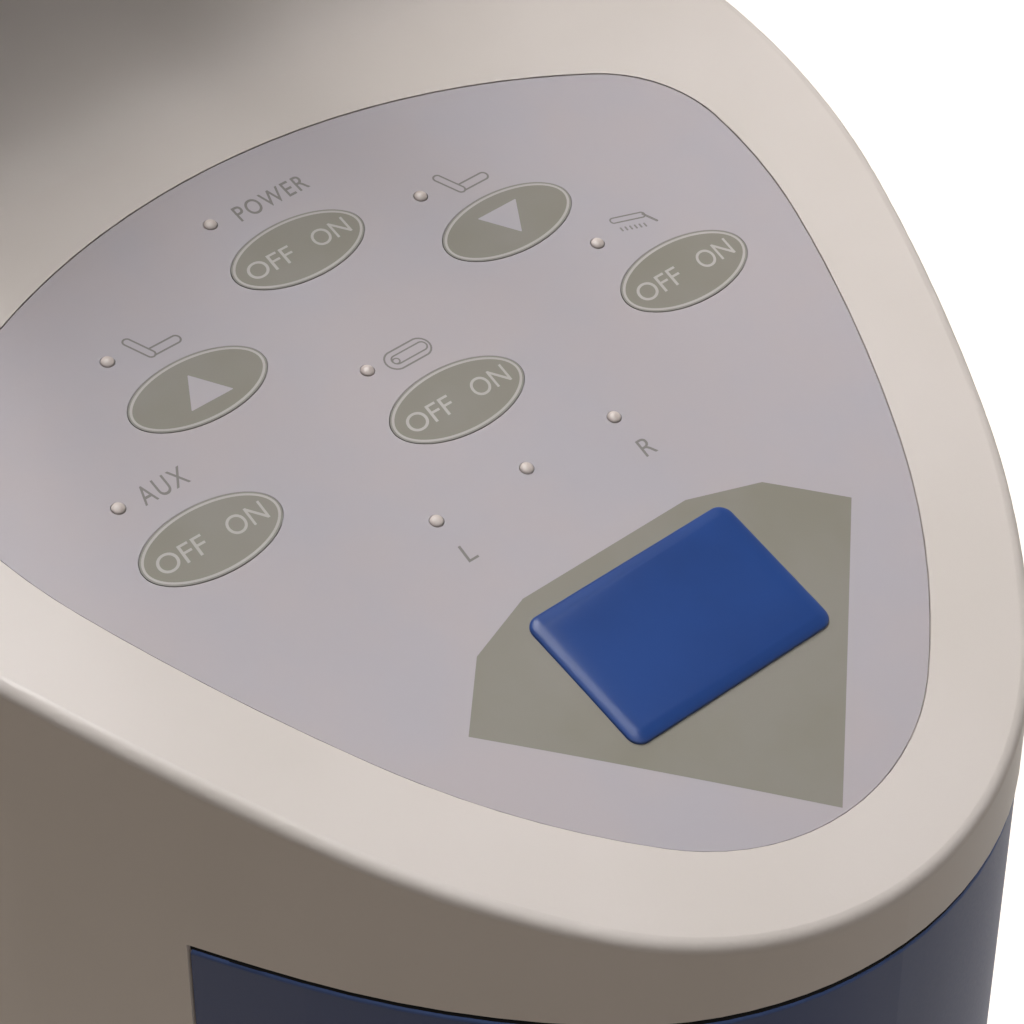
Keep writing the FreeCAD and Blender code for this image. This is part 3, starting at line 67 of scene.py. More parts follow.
def finish(name, light, dark, patch_mm, grain_mm, bump, rough, stretch=(1, 1, 1), metallic=0.0,
           coat=0.0, specular=0.5):
    """A finish with two tones in soft patches, a fine grain in its roughness and a slight relief.

    Object coordinates are metres, so 1000 / mm repeats a pattern every so many millimetres.
    The noise stays near its middle, so 0.35 to 0.65 of it is spread over the two tones, and
    the relief is a quarter of the grain deep.
    """
    material = bpy.data.materials.new(name)
    material.use_nodes = True
    tree = material.node_tree
    tree.nodes.clear()
    place = add(tree, "ShaderNodeTexCoord").outputs["Object"]
    place = add(tree, "ShaderNodeMapping", [("Vector", place), ("Scale", stretch)]).outputs[0]
    patch = add(tree, "ShaderNodeTexNoise", [
        ("Vector", place), ("Scale", 1000 / patch_mm), ("Detail", 3.0)])
    grain = add(tree, "ShaderNodeTexNoise", [
        ("Vector", place), ("Scale", 1000 / grain_mm), ("Detail", 2.0)])
    spread = add(tree, "ShaderNodeMapRange", [(0, patch.outputs[0]), (1, 0.35), (2, 0.65)])
    tone = add(tree, "ShaderNodeMix", [
        (0, spread.outputs[0]), (6, linear(light)), (7, linear(dark))], data_type="RGBA")
    gloss = add(tree, "ShaderNodeMapRange", [
        (0, grain.outputs[0]), (3, rough[0]), (4, rough[1])])
    relief = add(tree, "ShaderNodeBump", [
        ("Height", grain.outputs[0]), ("Strength", bump), ("Distance", grain_mm / 4000)])
    shader = add(tree, "ShaderNodeBsdfPrincipled", [
        ("Base Color", tone.outputs[2]), ("Roughness", gloss.outputs[0]),
        ("Normal", relief.outputs[0]), ("Metallic", metallic), ("Coat Weight", coat),
        ("Specular IOR Level", specular)])
    add(tree, "ShaderNodeOutputMaterial", [(0, shader.outputs[0])])
    return material


def dress(material, *names):
    """Gives CAD nodes one material."""
    for name in names:
        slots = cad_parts[name].data.materials
        slots.clear()
        slots.append(material)


def settle(piece, name, place, body, material):
    """Names a finished piece, puts it at its place for good, and gives it material and body."""
    bpy.ops.object.select_all(action="DESELECT")
    piece.select_set(True)
    bpy.context.view_layer.objects.active = piece
    piece.name = name
    piece.matrix_world = place
    bpy.ops.object.transform_apply()
    if material:
        piece.data.materials.clear()
        piece.data.materials.append(material)
    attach(piece, body)


def twin(model):
    """A copy of a modelled piece, with its own mesh."""
    piece = model.copy()
    piece.data = model.data.copy()
    bpy.context.collection.objects.link(piece)
    return piece


def set_in(model, name, place, body, material):
    """Settles a copy of a modelled piece."""
    piece = twin(model)
    settle(piece, name, place, body, material)
    return piece


def face_outwards(smooth=None):
    """Turns the edited piece's faces outwards, leaves edit mode and smooths below an angle."""
    bpy.ops.mesh.select_all(action="SELECT")
    bpy.ops.mesh.normals_make_consistent()
    bpy.ops.object.mode_set(mode="OBJECT")
    if smooth:
        bpy.ops.object.shade_smooth_by_angle(angle=math.radians(smooth))


def stepped_disc(radius, rise, steps, sides=40):
    """A round piece on the origin, raised by rise, then drawn inwards and up step by step."""
    bpy.ops.object.select_all(action="DESELECT")
    bpy.ops.mesh.primitive_circle_add(vertices=sides, radius=radius, fill_type="NGON")
    piece = bpy.context.object
    bpy.ops.object.mode_set(mode="EDIT")
    bpy.ops.mesh.select_all(action="SELECT")
    bpy.ops.mesh.extrude_region_move(TRANSFORM_OT_translate={"value": (0, 0, rise)})
    for inwards, up in steps:
        bpy.ops.mesh.inset(thickness=inwards, depth=up)
    face_outwards(smooth=40)
    return piece


# Cream ABS, moulded with a fine spark texture: a warm off-white, satin, faintly cloudy.
cream_abs = finish("cream moulded ABS", "DCD4CE", "D7CFC8", 60, 0.8, 0.05, (0.30, 0.38))
# Machined steel, turned and drawn: a grey metal with fine marks along the work.
machined_steel = finish("machined steel", "A9AAAB", "8E8F91", 30, 0.6, 0.10, (0.28, 0.42),
                        (1, 1, 0.1), 1.0)
# Black rubber, moulded: dark and nearly without shine, dusty in patches.
black_rubber = finish("black rubber", "1F1F20", "2A2A2B", 12, 0.5, 0.30, (0.65, 0.85))
dress(cream_abs, "base_cover")
dress(machined_steel, "base_plate")
dress(black_rubber, "levelling_feet")
COVER_TOP = 0.062
PLUG_RADIUS = 0.0105
PLUG_RIM = 0.0010
PLUG_STEPS = [(0.0004, 0.0005), (0.0010, 0.0003), (0.0020, 0.0001), (0.0006, -0.0006),
              (0.0030, -0.0001)]
PLUG_PLACES = ((0.29, 0.08), (0.29, -0.22), (-0.15, 0.08), (-0.15, -0.22))
plug = stepped_disc(PLUG_RADIUS, PLUG_RIM, PLUG_STEPS)
for index, (x, y) in enumerate(PLUG_PLACES):
    place = Matrix.Translation((x, y, COVER_TOP))
    set_in(plug, f"cover_plug_{index}", place, "stand", cream_abs)
bpy.data.objects.remove(plug)

# Column: a chromed steel tube in a bolted socket, with a rubber grommet where it leaves the
# deck and two split aluminium collars that carry the hubs.
# Chromed steel, polished before plating: a bright grey mirror with very faint waves.
chromed_tube = finish("chromed steel tube", "A9ABAE", "9DA0A4", 80, 2.0, 0.02, (0.06, 0.12),
                      metallic=1.0)
# Cast aluminium, tumbled and left bare: a soft grey metal with a sandy skin.
cast_aluminium = finish("cast aluminium", "B4B5B6", "A3A4A6", 15, 0.7, 0.20, (0.34, 0.50),
                        metallic=1.0)
dress(chromed_tube, "column_tube", "lamp_tube")
dress(machined_steel, "column_socket", "socket_bolts")
dress(black_rubber, "column_trim")
dress(cast_aluminium, "column_clamp", "stop_collars")

# Chassis and electrics inside the pedestal: plated tube and sheet, a boxed supply, a green
# board. Supply and board hang on the chassis tube, and a nylon gland closes the lead's hole.
# Painted sheet steel: a plain mid grey with a slight orange peel.
grey_case = finish("grey painted case", "77797B", "6B6D70", 25, 0.6, 0.12, (0.40, 0.55))
# Circuit board under solder mask: a dark green, half glossy and uneven over the tracks.
circuit_board = finish("green circuit board", "1B5A33", "16482A", 6, 0.4, 0.10, (0.35, 0.5))
# Black nylon, moulded: a dark grey with a low even shine.
black_nylon = finish("black nylon", "17171A", "222225", 10, 0.5, 0.15, (0.38, 0.52))
dress(machined_steel, "chassis_frame", "panel_brackets")
dress(grey_case, "power_supply")
dress(circuit_board, "control_board", "switch_sheet")
dress(black_nylon, "cable_gland")

# Pedestal sides and console shell: cream mouldings, the console one wall from rim to deck.
# The sides meet in a seam down the back, held by socket screws, with two louvred vents let in.
BACK_RADIUS = 0.1265
VENT_PROUD = 0.0009
VENT_WIDTH = 0.090
VENT_TURN = math.radians(38)
VENT_HEIGHTS = (("high", 0.545), ("low", 0.150))
VENT_CUTS = 16
LOUVRES = 7
LOUVRE_PITCH = 0.0105
LOUVRE_SEAT = 0.0014
HOOD = (VENT_WIDTH, 0.0062, 0.0020)
HOOD_LIFT = 0.0030
dress(cream_abs, "pedestal_left", "pedestal_right", "console_shell")


def select_points(piece, wanted):
    """Selects in edit mode the points that wanted picks by their place."""
    bpy.ops.mesh.select_mode(type="VERT")
    bpy.ops.mesh.select_all(action="DESELECT")
    bpy.ops.object.mode_set(mode="OBJECT")
    for point in piece.data.vertices:
        point.select = wanted(point.co)
    bpy.ops.object.mode_set(mode="EDIT")


def join(pieces):
    """Joins modelled pieces to the first of them."""
    bpy.ops.object.select_all(action="DESELECT")
    for piece in pieces:
        piece.select_set(True)
    bpy.context.view_layer.objects.active = pieces[0]
    bpy.ops.object.join()
    return pieces[0]


def slab(size, cuts, edge):
    """A flat block of that size on the origin, cut across its length, with rounded edges."""
    bpy.ops.object.select_all(action="DESELECT")
    bpy.ops.mesh.primitive_cube_add(size=1)
    piece = bpy.context.object
    piece.scale = size
    bpy.ops.object.transform_apply()
    bpy.ops.object.mode_set(mode="EDIT")
    bpy.ops.mesh.select_all(action="SELECT")
    bpy.ops.mesh.bevel(offset=edge, segments=2)
    for step in range(1, cuts):
        cut = (size[0] * (step / cuts - 0.5), 0, 0)
        bpy.ops.mesh.select_all(action="SELECT")
        bpy.ops.mesh.bisect(plane_co=cut, plane_no=(1, 0, 0))
    bpy.ops.object.mode_set(mode="OBJECT")
    return piece


vent_frame = (VENT_WIDTH + 0.010, LOUVRES * LOUVRE_PITCH + 0.008, 0.0016)
vent = [slab(vent_frame, VENT_CUTS, 0.0006)]
for index in range(LOUVRES):
    hood = slab(HOOD, VENT_CUTS, 0.0005)
    bpy.ops.object.mode_set(mode="EDIT")
    select_points(hood, lambda co: co.y > 0 and co.z > 0)
    bpy.ops.transform.translate(value=(0, 0, HOOD_LIFT))
    bpy.ops.object.mode_set(mode="OBJECT")
    hood.location = (0, (index - (LOUVRES - 1) / 2) * LOUVRE_PITCH, LOUVRE_SEAT)
    bpy.ops.object.transform_apply()
    vent.append(hood)
vent = join(vent)
# The flat vent is wrapped round the back of the pedestal.
for point in vent.data.vertices:
    turn = point.co.x / BACK_RADIUS
    reach = BACK_RADIUS + VENT_PROUD + point.co.z
    point.co = (reach * math.sin(turn), reach * math.cos(turn), -point.co.y)
bpy.context.view_layer.objects.active = vent
bpy.ops.object.mode_set(mode="EDIT")
face_outwards(smooth=35)
for name, height in VENT_HEIGHTS:
    place = Matrix.Translation((0, 0, height)) @ Matrix.Rotation(VENT_TURN, 4, "Z")
    set_in(vent, "back_vent_" + name, place, "stand", black_nylon)
bpy.data.objects.remove(vent)

# Socket screws of the seam: turned steel with a blind hole for the key.
SCREW_RADIUS = 0.0046
SCREW_RIM = 0.0006
SCREW_STEPS = [(0.0003, 0.0006), (0.0007, 0.0006), (0.0012, 0.0003), (0.0001, -0.0014)]
SCREW_SIDES = 36
SCREW_SUNK = 0.0002
SEAM_TURN = math.radians(6.5)
SEAM_HEIGHTS = (0.100, 0.350, 0.595)
screw = stepped_disc(SCREW_RADIUS, SCREW_RIM, SCREW_STEPS, SCREW_SIDES)
for side, hand in ((-1, "right"), (1, "left")):
    for index, height in enumerate(SEAM_HEIGHTS):
        place = (Matrix.Rotation(side * SEAM_TURN, 4, "Z")
                 @ Matrix.Translation((0, BACK_RADIUS - SCREW_SUNK, height))
                 @ Matrix.Rotation(math.radians(-90), 4, "X"))
        set_in(screw, f"seam_screw_{hand}_{index}", place, "stand", machined_steel)

# Front panel: blue ABS let into the nose of the console and held by brackets from behind.
# A gap is left above it, and a dead black strip a little behind the panel's face paints the shade
# in that gap.
FRONT_LIP = 0.0014
FRONT_GAP = 0.0014
PANEL_END = -0.2425
panel_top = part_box("front_panel")[1][2]
# Blue ABS, moulded satin: a deep blue, with a painted highlight that makes its rounded top edge
# paler.
blue_abs = finish("blue moulded ABS", "2F4170", "2B3C69", 70, 0.8, 0.05, (0.34, 0.42),
                  specular=0.24)
tree = blue_abs.node_tree
shader = tree.nodes["Principled BSDF"]
face_blue = shader.inputs["Base Color"].links[0].from_socket
place = add(tree, "ShaderNodeTexCoord").outputs["Object"]
height = add(tree, "ShaderNodeSeparateXYZ", [(0, place)])
# Painted highlight: by height, the top of the rounded lip is mixed towards a pale blue.
painted_lip_highlight = add(tree, "ShaderNodeMapRange", [
    (0, height.outputs[2]), (1, panel_top - FRONT_LIP), (2, panel_top - FRONT_LIP / 2)])
tone = add(tree, "ShaderNodeMix", [
    (0, painted_lip_highlight.outputs[0]), (6, face_blue), (7, linear("5F7CBE"))], data_type="RGBA")
tree.links.new(tone.outputs[2], shader.inputs["Base Color"])
dress(blue_abs, "front_panel")
# Painted shade: a dead black strip put in the gap above the panel in place of the gap's shade.
gap_shade_black = finish("black painted gap shade", "060607", "0A0A0B", 5, 0.3, 0.20, (0.80, 0.95),
                    specular=0.10)
# The strip of painted gap shade is the panel's own top edge, raised into the gap, drawn in behind
# the panel's face and let out to the ends of the recess.
GAP_SHADE_DEPTH = 0.0020
GAP_SHADE_DRAW = (0.9970, 1.0011, 1, 1)
GAP_SHADE_REACH = 0.0004
gap_shade_strip = bpy.data.objects.new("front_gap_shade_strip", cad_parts["front_panel"].data.copy())
bpy.context.collection.objects.link(gap_shade_strip)
bpy.ops.object.select_all(action="DESELECT")
gap_shade_strip.select_set(True)
bpy.context.view_layer.objects.active = gap_shade_strip
bpy.ops.object.mode_set(mode="EDIT")
bpy.ops.mesh.select_all(action="SELECT")
bpy.ops.mesh.remove_doubles(threshold=0.00001)
bpy.ops.mesh.bisect(plane_co=(0, 0, panel_top - GAP_SHADE_DEPTH), plane_no=(0, 0, 1),
                    use_fill=True, clear_inner=True)
bpy.ops.object.mode_set(mode="OBJECT")
place = (Matrix.Translation((0, PANEL_END + GAP_SHADE_REACH, FRONT_GAP)) @ Matrix.Diagonal(GAP_SHADE_DRAW)
         @ Matrix.Translation((0, -PANEL_END, 0)))
settle(gap_shade_strip, "front_gap_shade_strip", place, "stand", gap_shade_black)

# Key panel: a polyester film printed on its back, glued to an aluminium backer with the switch
# sheet, snap domes and carrier below. It follows the shallow crown of the console's face.
PANEL_PITCH = math.radians(13.65)
PANEL = Matrix.Translation((0, -0.225, 0.760)) @ Matrix.Rotation(PANEL_PITCH, 4, "X")
CROWN_RADIUS = 0.831
FILM_TOP = -0.0002


def on_panel(x, y, lift):
    """The place on the crowned face at x to the right and y up, lifted square to it."""
    drop = math.sqrt(CROWN_RADIUS ** 2 - y ** 2) - CROWN_RADIUS
    lean = Matrix.Rotation(-math.asin(y / CROWN_RADIUS), 4, "X")
    return PANEL @ Matrix.Translation((x, y, drop)) @ lean @ Matrix.Translation((0, 0, lift))


# Polyester film with a matt back print: mauve grey, faintly pink and blue as the glue varies.
printed_film = finish("mauve grey polyester film", "B5ADB0", "B1ACB2", 26, 0.5, 0.04,
                      (0.42, 0.52))
dress(printed_film, "keypad_overlay")
dress(cast_aluminium, "keypad_backer", "keypad_carrier")
dress(machined_steel, "snap_domes")

# Panel printing: the olive field under the badge, the names beside the lenses and the
# pictograms. It is screen ink on the film, drawn as thin flat pieces just above it.
INK = 0.00002
INK_LIFT = FILM_TOP + INK
# Screen ink, matt: an even olive grey, and a darker grey green for the lines and names.
olive_ink = finish("olive screen ink", "8A867D", "858175", 25, 0.5, 0.04, (0.42, 0.52))
legend_ink = finish("grey green legend ink", "817D79", "7C7873", 8, 0.4, 0.03, (0.42, 0.52))
FIELD_CORNERS = [(0, -0.0918), (0.050, -0.0412), (0.0372, -0.0285), (0.0212, -0.0233),
                 (-0.0212, -0.0233), (-0.0372, -0.0285), (-0.050, -0.0412)]
FIELD_SIZE = (0.100, 0.0704)
FIELD_MIDDLE = -0.0585
bpy.ops.object.select_all(action="DESELECT")
bpy.ops.mesh.primitive_grid_add(x_subdivisions=24, y_subdivisions=48, size=1)
field = bpy.context.object
field.scale = (*FIELD_SIZE, 1)
field.location = (0, FIELD_MIDDLE, 0)
bpy.ops.object.transform_apply()
bpy.ops.object.mode_set(mode="EDIT")
for (x0, y0), (x1, y1) in zip(FIELD_CORNERS, FIELD_CORNERS[1:] + FIELD_CORNERS[:1]):
    across = Vector((y1 - y0, x0 - x1, 0)).normalized()
    bpy.ops.mesh.select_all(action="SELECT")
    bpy.ops.mesh.bisect(plane_co=(x0, y0, 0), plane_no=across, clear_outer=True, threshold=1e-7)
bpy.ops.object.mode_set(mode="OBJECT")
for point in field.data.vertices:
    point.co = on_panel(point.co.x, point.co.y, INK_LIFT).translation
settle(field, "print_badge_field", Matrix.Identity(4), "stand", olive_ink)


def word(letters, width, height, weight, spacing=1.0):
    """Capitals of that width and height as a flat mesh centred on the origin."""
    bpy.ops.object.select_all(action="DESELECT")
    bpy.ops.object.text_add()
    text = bpy.context.object.data
    text.body = letters
    text.shear = 0.12
    text.offset = weight
    text.space_character = spacing
    bpy.ops.object.convert(target="MESH")
    piece = bpy.context.object
    across = [point.co.x for point in piece.data.vertices]
    upward = [point.co.y for point in piece.data.vertices]
    left, right, low, high = min(across), max(across), min(upward), max(upward)
    middle = Matrix.Translation((-(left + right) / 2, -(low + high) / 2, 0))
    size = Matrix.Diagonal((width / (right - left), height / (high - low), 1, 1))
    piece.matrix_world = size @ middle
    bpy.ops.object.transform_apply()
    return piece


# Each legend: its letters, width, height, weight of line, and place on the panel.
LEGEND_SPACING = 1.18
LEGENDS = (("power", "POWER", 0.0180, 0.0044, 0.008, 0.0048, 0.0852),
           ("aux", "AUX", 0.0112, 0.0046, 0.004, -0.0611, 0.0364),
           ("left", "L", 0.0026, 0.0041, 0.0, -0.0230, -0.0091),
           ("right", "R", 0.0031, 0.0042, 0.0, 0.0234, -0.0091))
for name, letters, width, height, weight, x, y in LEGENDS:
    legend = word(letters, width, height, weight, LEGEND_SPACING)
    settle(legend, "print_" + name, on_panel(x, y, INK_LIFT), "stand", legend_ink)


def capsule_line(x0, y0, x1, y1, width, line, open_start=False):
    """A drawn outline with round ends from one middle to the other, still flat at the origin."""
    length = math.hypot(x1 - x0, y1 - y0)
    bpy.ops.object.select_all(action="DESELECT")
    bpy.ops.mesh.primitive_circle_add(vertices=24, radius=width / 2, fill_type="NGON",
                                      rotation=(0, 0, math.pi / 24))
    piece = bpy.context.object
    bpy.ops.object.transform_apply()
    bpy.ops.object.mode_set(mode="EDIT")
    select_points(piece, lambda co: co.x > 0)
    bpy.ops.transform.translate(value=(length, 0, 0))
    bpy.ops.mesh.select_all(action="SELECT")
    bpy.ops.mesh.inset(thickness=line)
    bpy.ops.mesh.delete(type="FACE")
    if open_start:
        select_points(piece, lambda co: co.x < -width / 8)
        bpy.ops.mesh.delete(type="VERT")
    bpy.ops.object.mode_set(mode="OBJECT")
    turn = Matrix.Rotation(math.atan2(y1 - y0, x1 - x0), 4, "Z")
    piece.matrix_world = Matrix.Translation((x0, y0, 0)) @ turn
    bpy.ops.object.transform_apply()
    return piece


back = capsule_line(-0.0036, -0.0003, -0.0017, -0.0055, 0.0022, 0.00042)
seat = capsule_line(-0.0012, -0.0052, 0.0046, -0.0052, 0.0025, 0.00042, open_start=True)
chair = join([back, seat])
for name, x in (("up", -0.0402), ("down", 0.0402)):
    place = on_panel(x, 0.0700, INK_LIFT)
    set_in(chair, "print_chair_" + name, place, "stand", legend_ink)
bpy.data.objects.remove(chair)
case = capsule_line(-0.0032, 0, 0.0028, 0, 0.0052, 0.00040)
slide = capsule_line(-0.0030, 0, 0.0034, 0, 0.0026, 0.00036)
glass = capsule_line(-0.0034, -0.0002, -0.0033, -0.0002, 0.0017, 0.00032)
settle(join([case, slide, glass]), "print_projector", on_panel(-0.0002, 0.0356, INK_LIFT),
       "stand", legend_ink)
shade = capsule_line(-0.0028, 0.0012, 0.0032, -0.0008, 0.0018, 0.00036)
stem = capsule_line(0.0036, -0.0008, 0.0048, -0.0038, 0.0006, 0.00028)
rays = []
for index in range(6):
    x, y = -0.0030 + 0.0010 * index, -0.0012 - 0.00035 * index
    rays.append(capsule_line(x, y, x - 0.0001, y - 0.0008, 0.0004, 0.00018))
settle(join([shade, stem] + rays), "print_lamp", on_panel(0.0614, 0.0384, INK_LIFT),
       "stand", legend_ink)

# Oval keys: raised pads of the film over the snap domes, printed olive with a light ring and a
# dark outline. Each one is pressed square to the face by 0.4 mm.
KEY_TOP = -0.0001
KEY_WALL = 0.0005
KEY_SIZE = (0.0160, 0.0083)
KEY_BANDS = ((1, 0.00040), (2, 0.00052))
KEY_PLACES = {"power": (0, 0.0703), "chair_up": (-0.0402, 0.0519), "chair_down": (0.0402, 0.0519),
              "aux": (-0.0614, 0.0209), "projector": (0, 0.0209), "lamp": (0.0614, 0.0209)}
# Screen inks of the keys: a dark olive line round the pad, and a pale grey ring and letters.
outline_ink = finish("dark olive outline ink", "8D8A83", "88857E", 8, 0.4, 0.03, (0.42, 0.52))
ring_ink = finish("light ring ink", "B9B4B0", "B4AFAA", 8, 0.4, 0.03, (0.42, 0.52))
bpy.ops.object.select_all(action="DESELECT")
bpy.ops.mesh.primitive_circle_add(vertices=96, radius=1, fill_type="NGON",
                                  location=(0, 0, -KEY_WALL))
key = bpy.context.object
key.scale = (*KEY_SIZE, 1)
bpy.ops.object.transform_apply()
for ink in (outline_ink, ring_ink, olive_ink):
    key.data.materials.append(ink)
bpy.ops.object.mode_set(mode="EDIT")
bpy.ops.mesh.select_all(action="SELECT")
bpy.ops.mesh.extrude_region_move(TRANSFORM_OT_translate={"value": (0, 0, KEY_WALL)})
for band, thickness in KEY_BANDS:
    bpy.ops.mesh.inset(thickness=thickness)
    key.active_material_index = band
    bpy.ops.object.material_slot_assign()
face_outwards()

ARROW_SIZE = (0.0060, 0.0053)
ARROW_SHIFT = 0.0005
LETTER_HEIGHT = 0.0045
OFF_WIDTH, OFF_SHIFT = 0.0116, -0.0070
ON_WIDTH, ON_SHIFT = 0.0092, 0.0084
bpy.ops.object.select_all(action="DESELECT")
bpy.ops.mesh.primitive_circle_add(vertices=3, radius=1, fill_type="NGON")
arrow = bpy.context.object
bpy.ops.object.mode_set(mode="EDIT")
bpy.ops.mesh.select_all(action="SELECT")
bpy.ops.mesh.bevel(offset=0.05, segments=3, affect="VERTICES")
bpy.ops.object.mode_set(mode="OBJECT")
arrow.matrix_world = Matrix.Diagonal((*ARROW_SIZE, 1, 1)) @ Matrix.Translation((0, -0.25, 0))
bpy.ops.object.transform_apply()
off_word = word("OFF", OFF_WIDTH, LETTER_HEIGHT, 0.0)
on_word = word("ON", ON_WIDTH, LETTER_HEIGHT, 0.0)
for name, (x, y) in KEY_PLACES.items():
    body = "key_" + name + "_body"
    pad = set_in(key, "oval_key_" + name, on_panel(x, y, KEY_TOP), body, None)
    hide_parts("key_" + name)
    lift = KEY_TOP + INK
    if name.startswith("chair"):
        turn = Matrix.Rotation(0 if name == "chair_up" else math.pi, 4, "Z")
        place = on_panel(x + ARROW_SHIFT, y, lift) @ turn
        set_in(arrow, "print_arrow_" + name, place, body, printed_film)
    else:
        place = on_panel(x + OFF_SHIFT, y, lift)
        set_in(off_word, "print_off_" + name, place, body, ring_ink)
        place = on_panel(x + ON_SHIFT, y, lift)
        set_in(on_word, "print_on_" + name, place, body, ring_ink)
for model in (key, arrow, off_word, on_word):
    bpy.data.objects.remove(model)

# Indicator lenses: small moulded epoxy domes that stand through the film, one by each key and a
# row of three for the left and right eye. They press in from below against a shoulder.
# Milky epoxy: unlit it is pale, with the light caught on the side of the dome that faces it.
lens_epoxy = finish("milky epoxy lens", "D9CEC8", "CFC3BC", 2, 0.3, 0.02, (0.30, 0.38), coat=0.2)
LENS_RADIUS = 0.0014
LENS_CROWN = 0.00078
LENS_WALL = 0.0006
LENS_LIFT = -0.0008
LENS_SIDES = 32
lens_places = [(x - 0.0099, y + 0.0158) for x, y in KEY_PLACES.values()]
lens_places += [(-0.0231, 0), (0, 0), (0.0231, 0)]
rim_to_crown = [math.radians(10 * step) for step in range(9)]
steps = [(LENS_RADIUS * (math.cos(a) - math.cos(b)), LENS_CROWN * (math.sin(b) - math.sin(a)))
         for a, b in zip(rim_to_crown, rim_to_crown[1:])]
lens = stepped_disc(LENS_RADIUS, LENS_WALL, steps, LENS_SIDES)
lenses = []
for x, y in lens_places:
    dome = twin(lens)
    dome.matrix_world = on_panel(x, y, LENS_LIFT)
    lenses.append(dome)
bpy.data.objects.remove(lens)
bpy.ops.object.select_all(action="DESELECT")
for dome in lenses:
    dome.select_set(True)
bpy.context.view_layer.objects.active = lenses[0]
bpy.ops.object.transform_apply()
lenses = join(lenses)
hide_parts("indicator_lenses")
settle(lenses, "indicator_domes", Matrix.Identity(4), "stand", lens_epoxy)

# Badge: a bare plate of domed resin over a blue print, glued on the olive field.
# The resin runs to a thin edge and stands highest over a flat middle.
BADGE = (0.0520, 0.0330)
BADGE_PLACE = (0.0008, -0.0444)
BADGE_CORNER = 0.0030
BADGE_SUNK = 0.0002
BADGE_WALL = 0.0004
BADGE_FALL = 0.0062
BADGE_RISE = 0.0012
# Cast resin, clear over blue: a deep even colour with a soft wide shine.
domed_resin = finish("blue domed resin", "20407E", "234586", 24, 1.0, 0.0, (0.28, 0.34),
                     specular=0.35)
bpy.ops.object.select_all(action="DESELECT")
bpy.ops.mesh.primitive_plane_add(size=1, location=(0, 0, -BADGE_SUNK))
badge = bpy.context.object
badge.scale = (*BADGE, 1)
bpy.ops.object.transform_apply()
bpy.ops.object.mode_set(mode="EDIT")
bpy.ops.mesh.select_all(action="SELECT")
bpy.ops.mesh.bevel(offset=BADGE_CORNER, segments=12, affect="VERTICES")
bpy.ops.mesh.select_all(action="SELECT")
bpy.ops.mesh.extrude_region_move(TRANSFORM_OT_translate={"value": (0, 0, BADGE_WALL)})
edge_to_crown = [math.radians(8.2 * step) for step in range(12)]
for a, b in zip(edge_to_crown, edge_to_crown[1:]):
    bpy.ops.mesh.inset(thickness=BADGE_FALL * (math.cos(a) - math.cos(b)),
                       depth=BADGE_RISE * (math.sin(b) - math.sin(a)))
    if b == edge_to_crown[7]:
        # The corner rounding is used up here, so each corner goes on as one point.
        bpy.ops.mesh.remove_doubles(threshold=0.0006)
face_outwards(smooth=40)
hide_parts("badge_plate")
settle(badge, "badge_domed_plate", on_panel(*BADGE_PLACE, FILM_TOP), "stand", domed_resin)

# Instrument table: a painted cast arm on the column, an aluminium saddle, steel rails and a
# laminate top with a rubber edge. Socket screws hold the rail ends.
# Cream powder coat: thick, with a fine orange peel.
painted_metal = finish("cream powder coat", "D6CFC8", "CFC8C0", 50, 1.2, 0.25, (0.34, 0.46))
# Laminate: pale grey with a fleck and a low shine.
laminate = finish("pale flecked laminate", "D2CCC3", "C2BAAE", 4, 0.6, 0.06, (0.30, 0.42))
# Sintered bronze: brown gold, open pored and oily.
bronze = finish("sintered bronze", "9C7A45", "87683A", 5, 0.4, 0.25, (0.40, 0.55), metallic=1.0)
dress(painted_metal, "table_arm")
dress(cast_aluminium, "table_saddle", "rail_ends")
dress(machined_steel, "table_rails")
dress(laminate, "table_top")
dress(black_rubber, "table_edge")
dress(black_nylon, "table_lever")
dress(bronze, "table_bushes", "phoropter_bushes", "spindle_bush")
RAIL_HEIGHT = 0.9173
RAIL_ENDS = (("near", 0.325, -90), ("far", 0.735, 90))
RAIL_SIDES = (("left", 0.091), ("right", -0.091))
for side, x, turn in RAIL_ENDS:
    for hand, y in RAIL_SIDES:
        place = (Matrix.Translation((x, y, RAIL_HEIGHT))
                 @ Matrix.Rotation(math.radians(turn), 4, "Y"))
        set_in(screw, f"rail_screw_{side}_{hand}", place, "table_slide", machined_steel)

# Phoropter arm: a hollow beam and a link below it on pins, so that the end block stays level.
# The hub turns on the column; the block carries a turning hanger with a plain pin.
dress(painted_metal, "phoropter_hub", "phoropter_beam", "beam_covers", "level_link", "end_block")
dress(machined_steel, "hub_pins", "end_pins", "spindle_nut")
dress(chromed_tube, "phoropter_hanger")
dress(black_nylon, "hub_knob", "hanger_knob")

# Overhead lamp: a bent chromed tube in a cap on the column, a painted shade on a knuckle and an
# opal cover over the light module. Three socket screws hold the cap.
# Opal acrylic, cast: a clean white with an even shine.
opal_acrylic = finish("opal acrylic", "F1F0EC", "ECEBE6", 30, 0.8, 0.02, (0.22, 0.30))
dress(painted_metal, "lamp_hub", "lamp_knuckle", "lamp_shade")
dress(cast_aluminium, "lamp_module")
dress(machined_steel, "lamp_pin")
dress(opal_acrylic, "lamp_diffuser")
CAP_SCREWS = 3
CAP_REACH = 0.0255
CAP_HEIGHT = 1.756
for index in range(CAP_SCREWS):
    turn = Matrix.Rotation(math.radians(60 + 360 / CAP_SCREWS * index), 4, "Z")
    place = turn @ Matrix.Translation((CAP_REACH, 0, CAP_HEIGHT))
    set_in(screw, f"lamp_cap_screw_{index}", place, "lamp_swing", machined_steel)
bpy.data.objects.remove(screw)

# Stage: a pale floor and a white surround that the camera sees, with soft light from above.
# The floor is warm, as the light that comes back from it in the photograph is.
FLOOR_SIZE = 12
SHOWN_WHITE = 0.80
MIRRORED_WHITE = 0.52
PURE_WHITE = (1.0, 1.0, 1.0, 1.0)


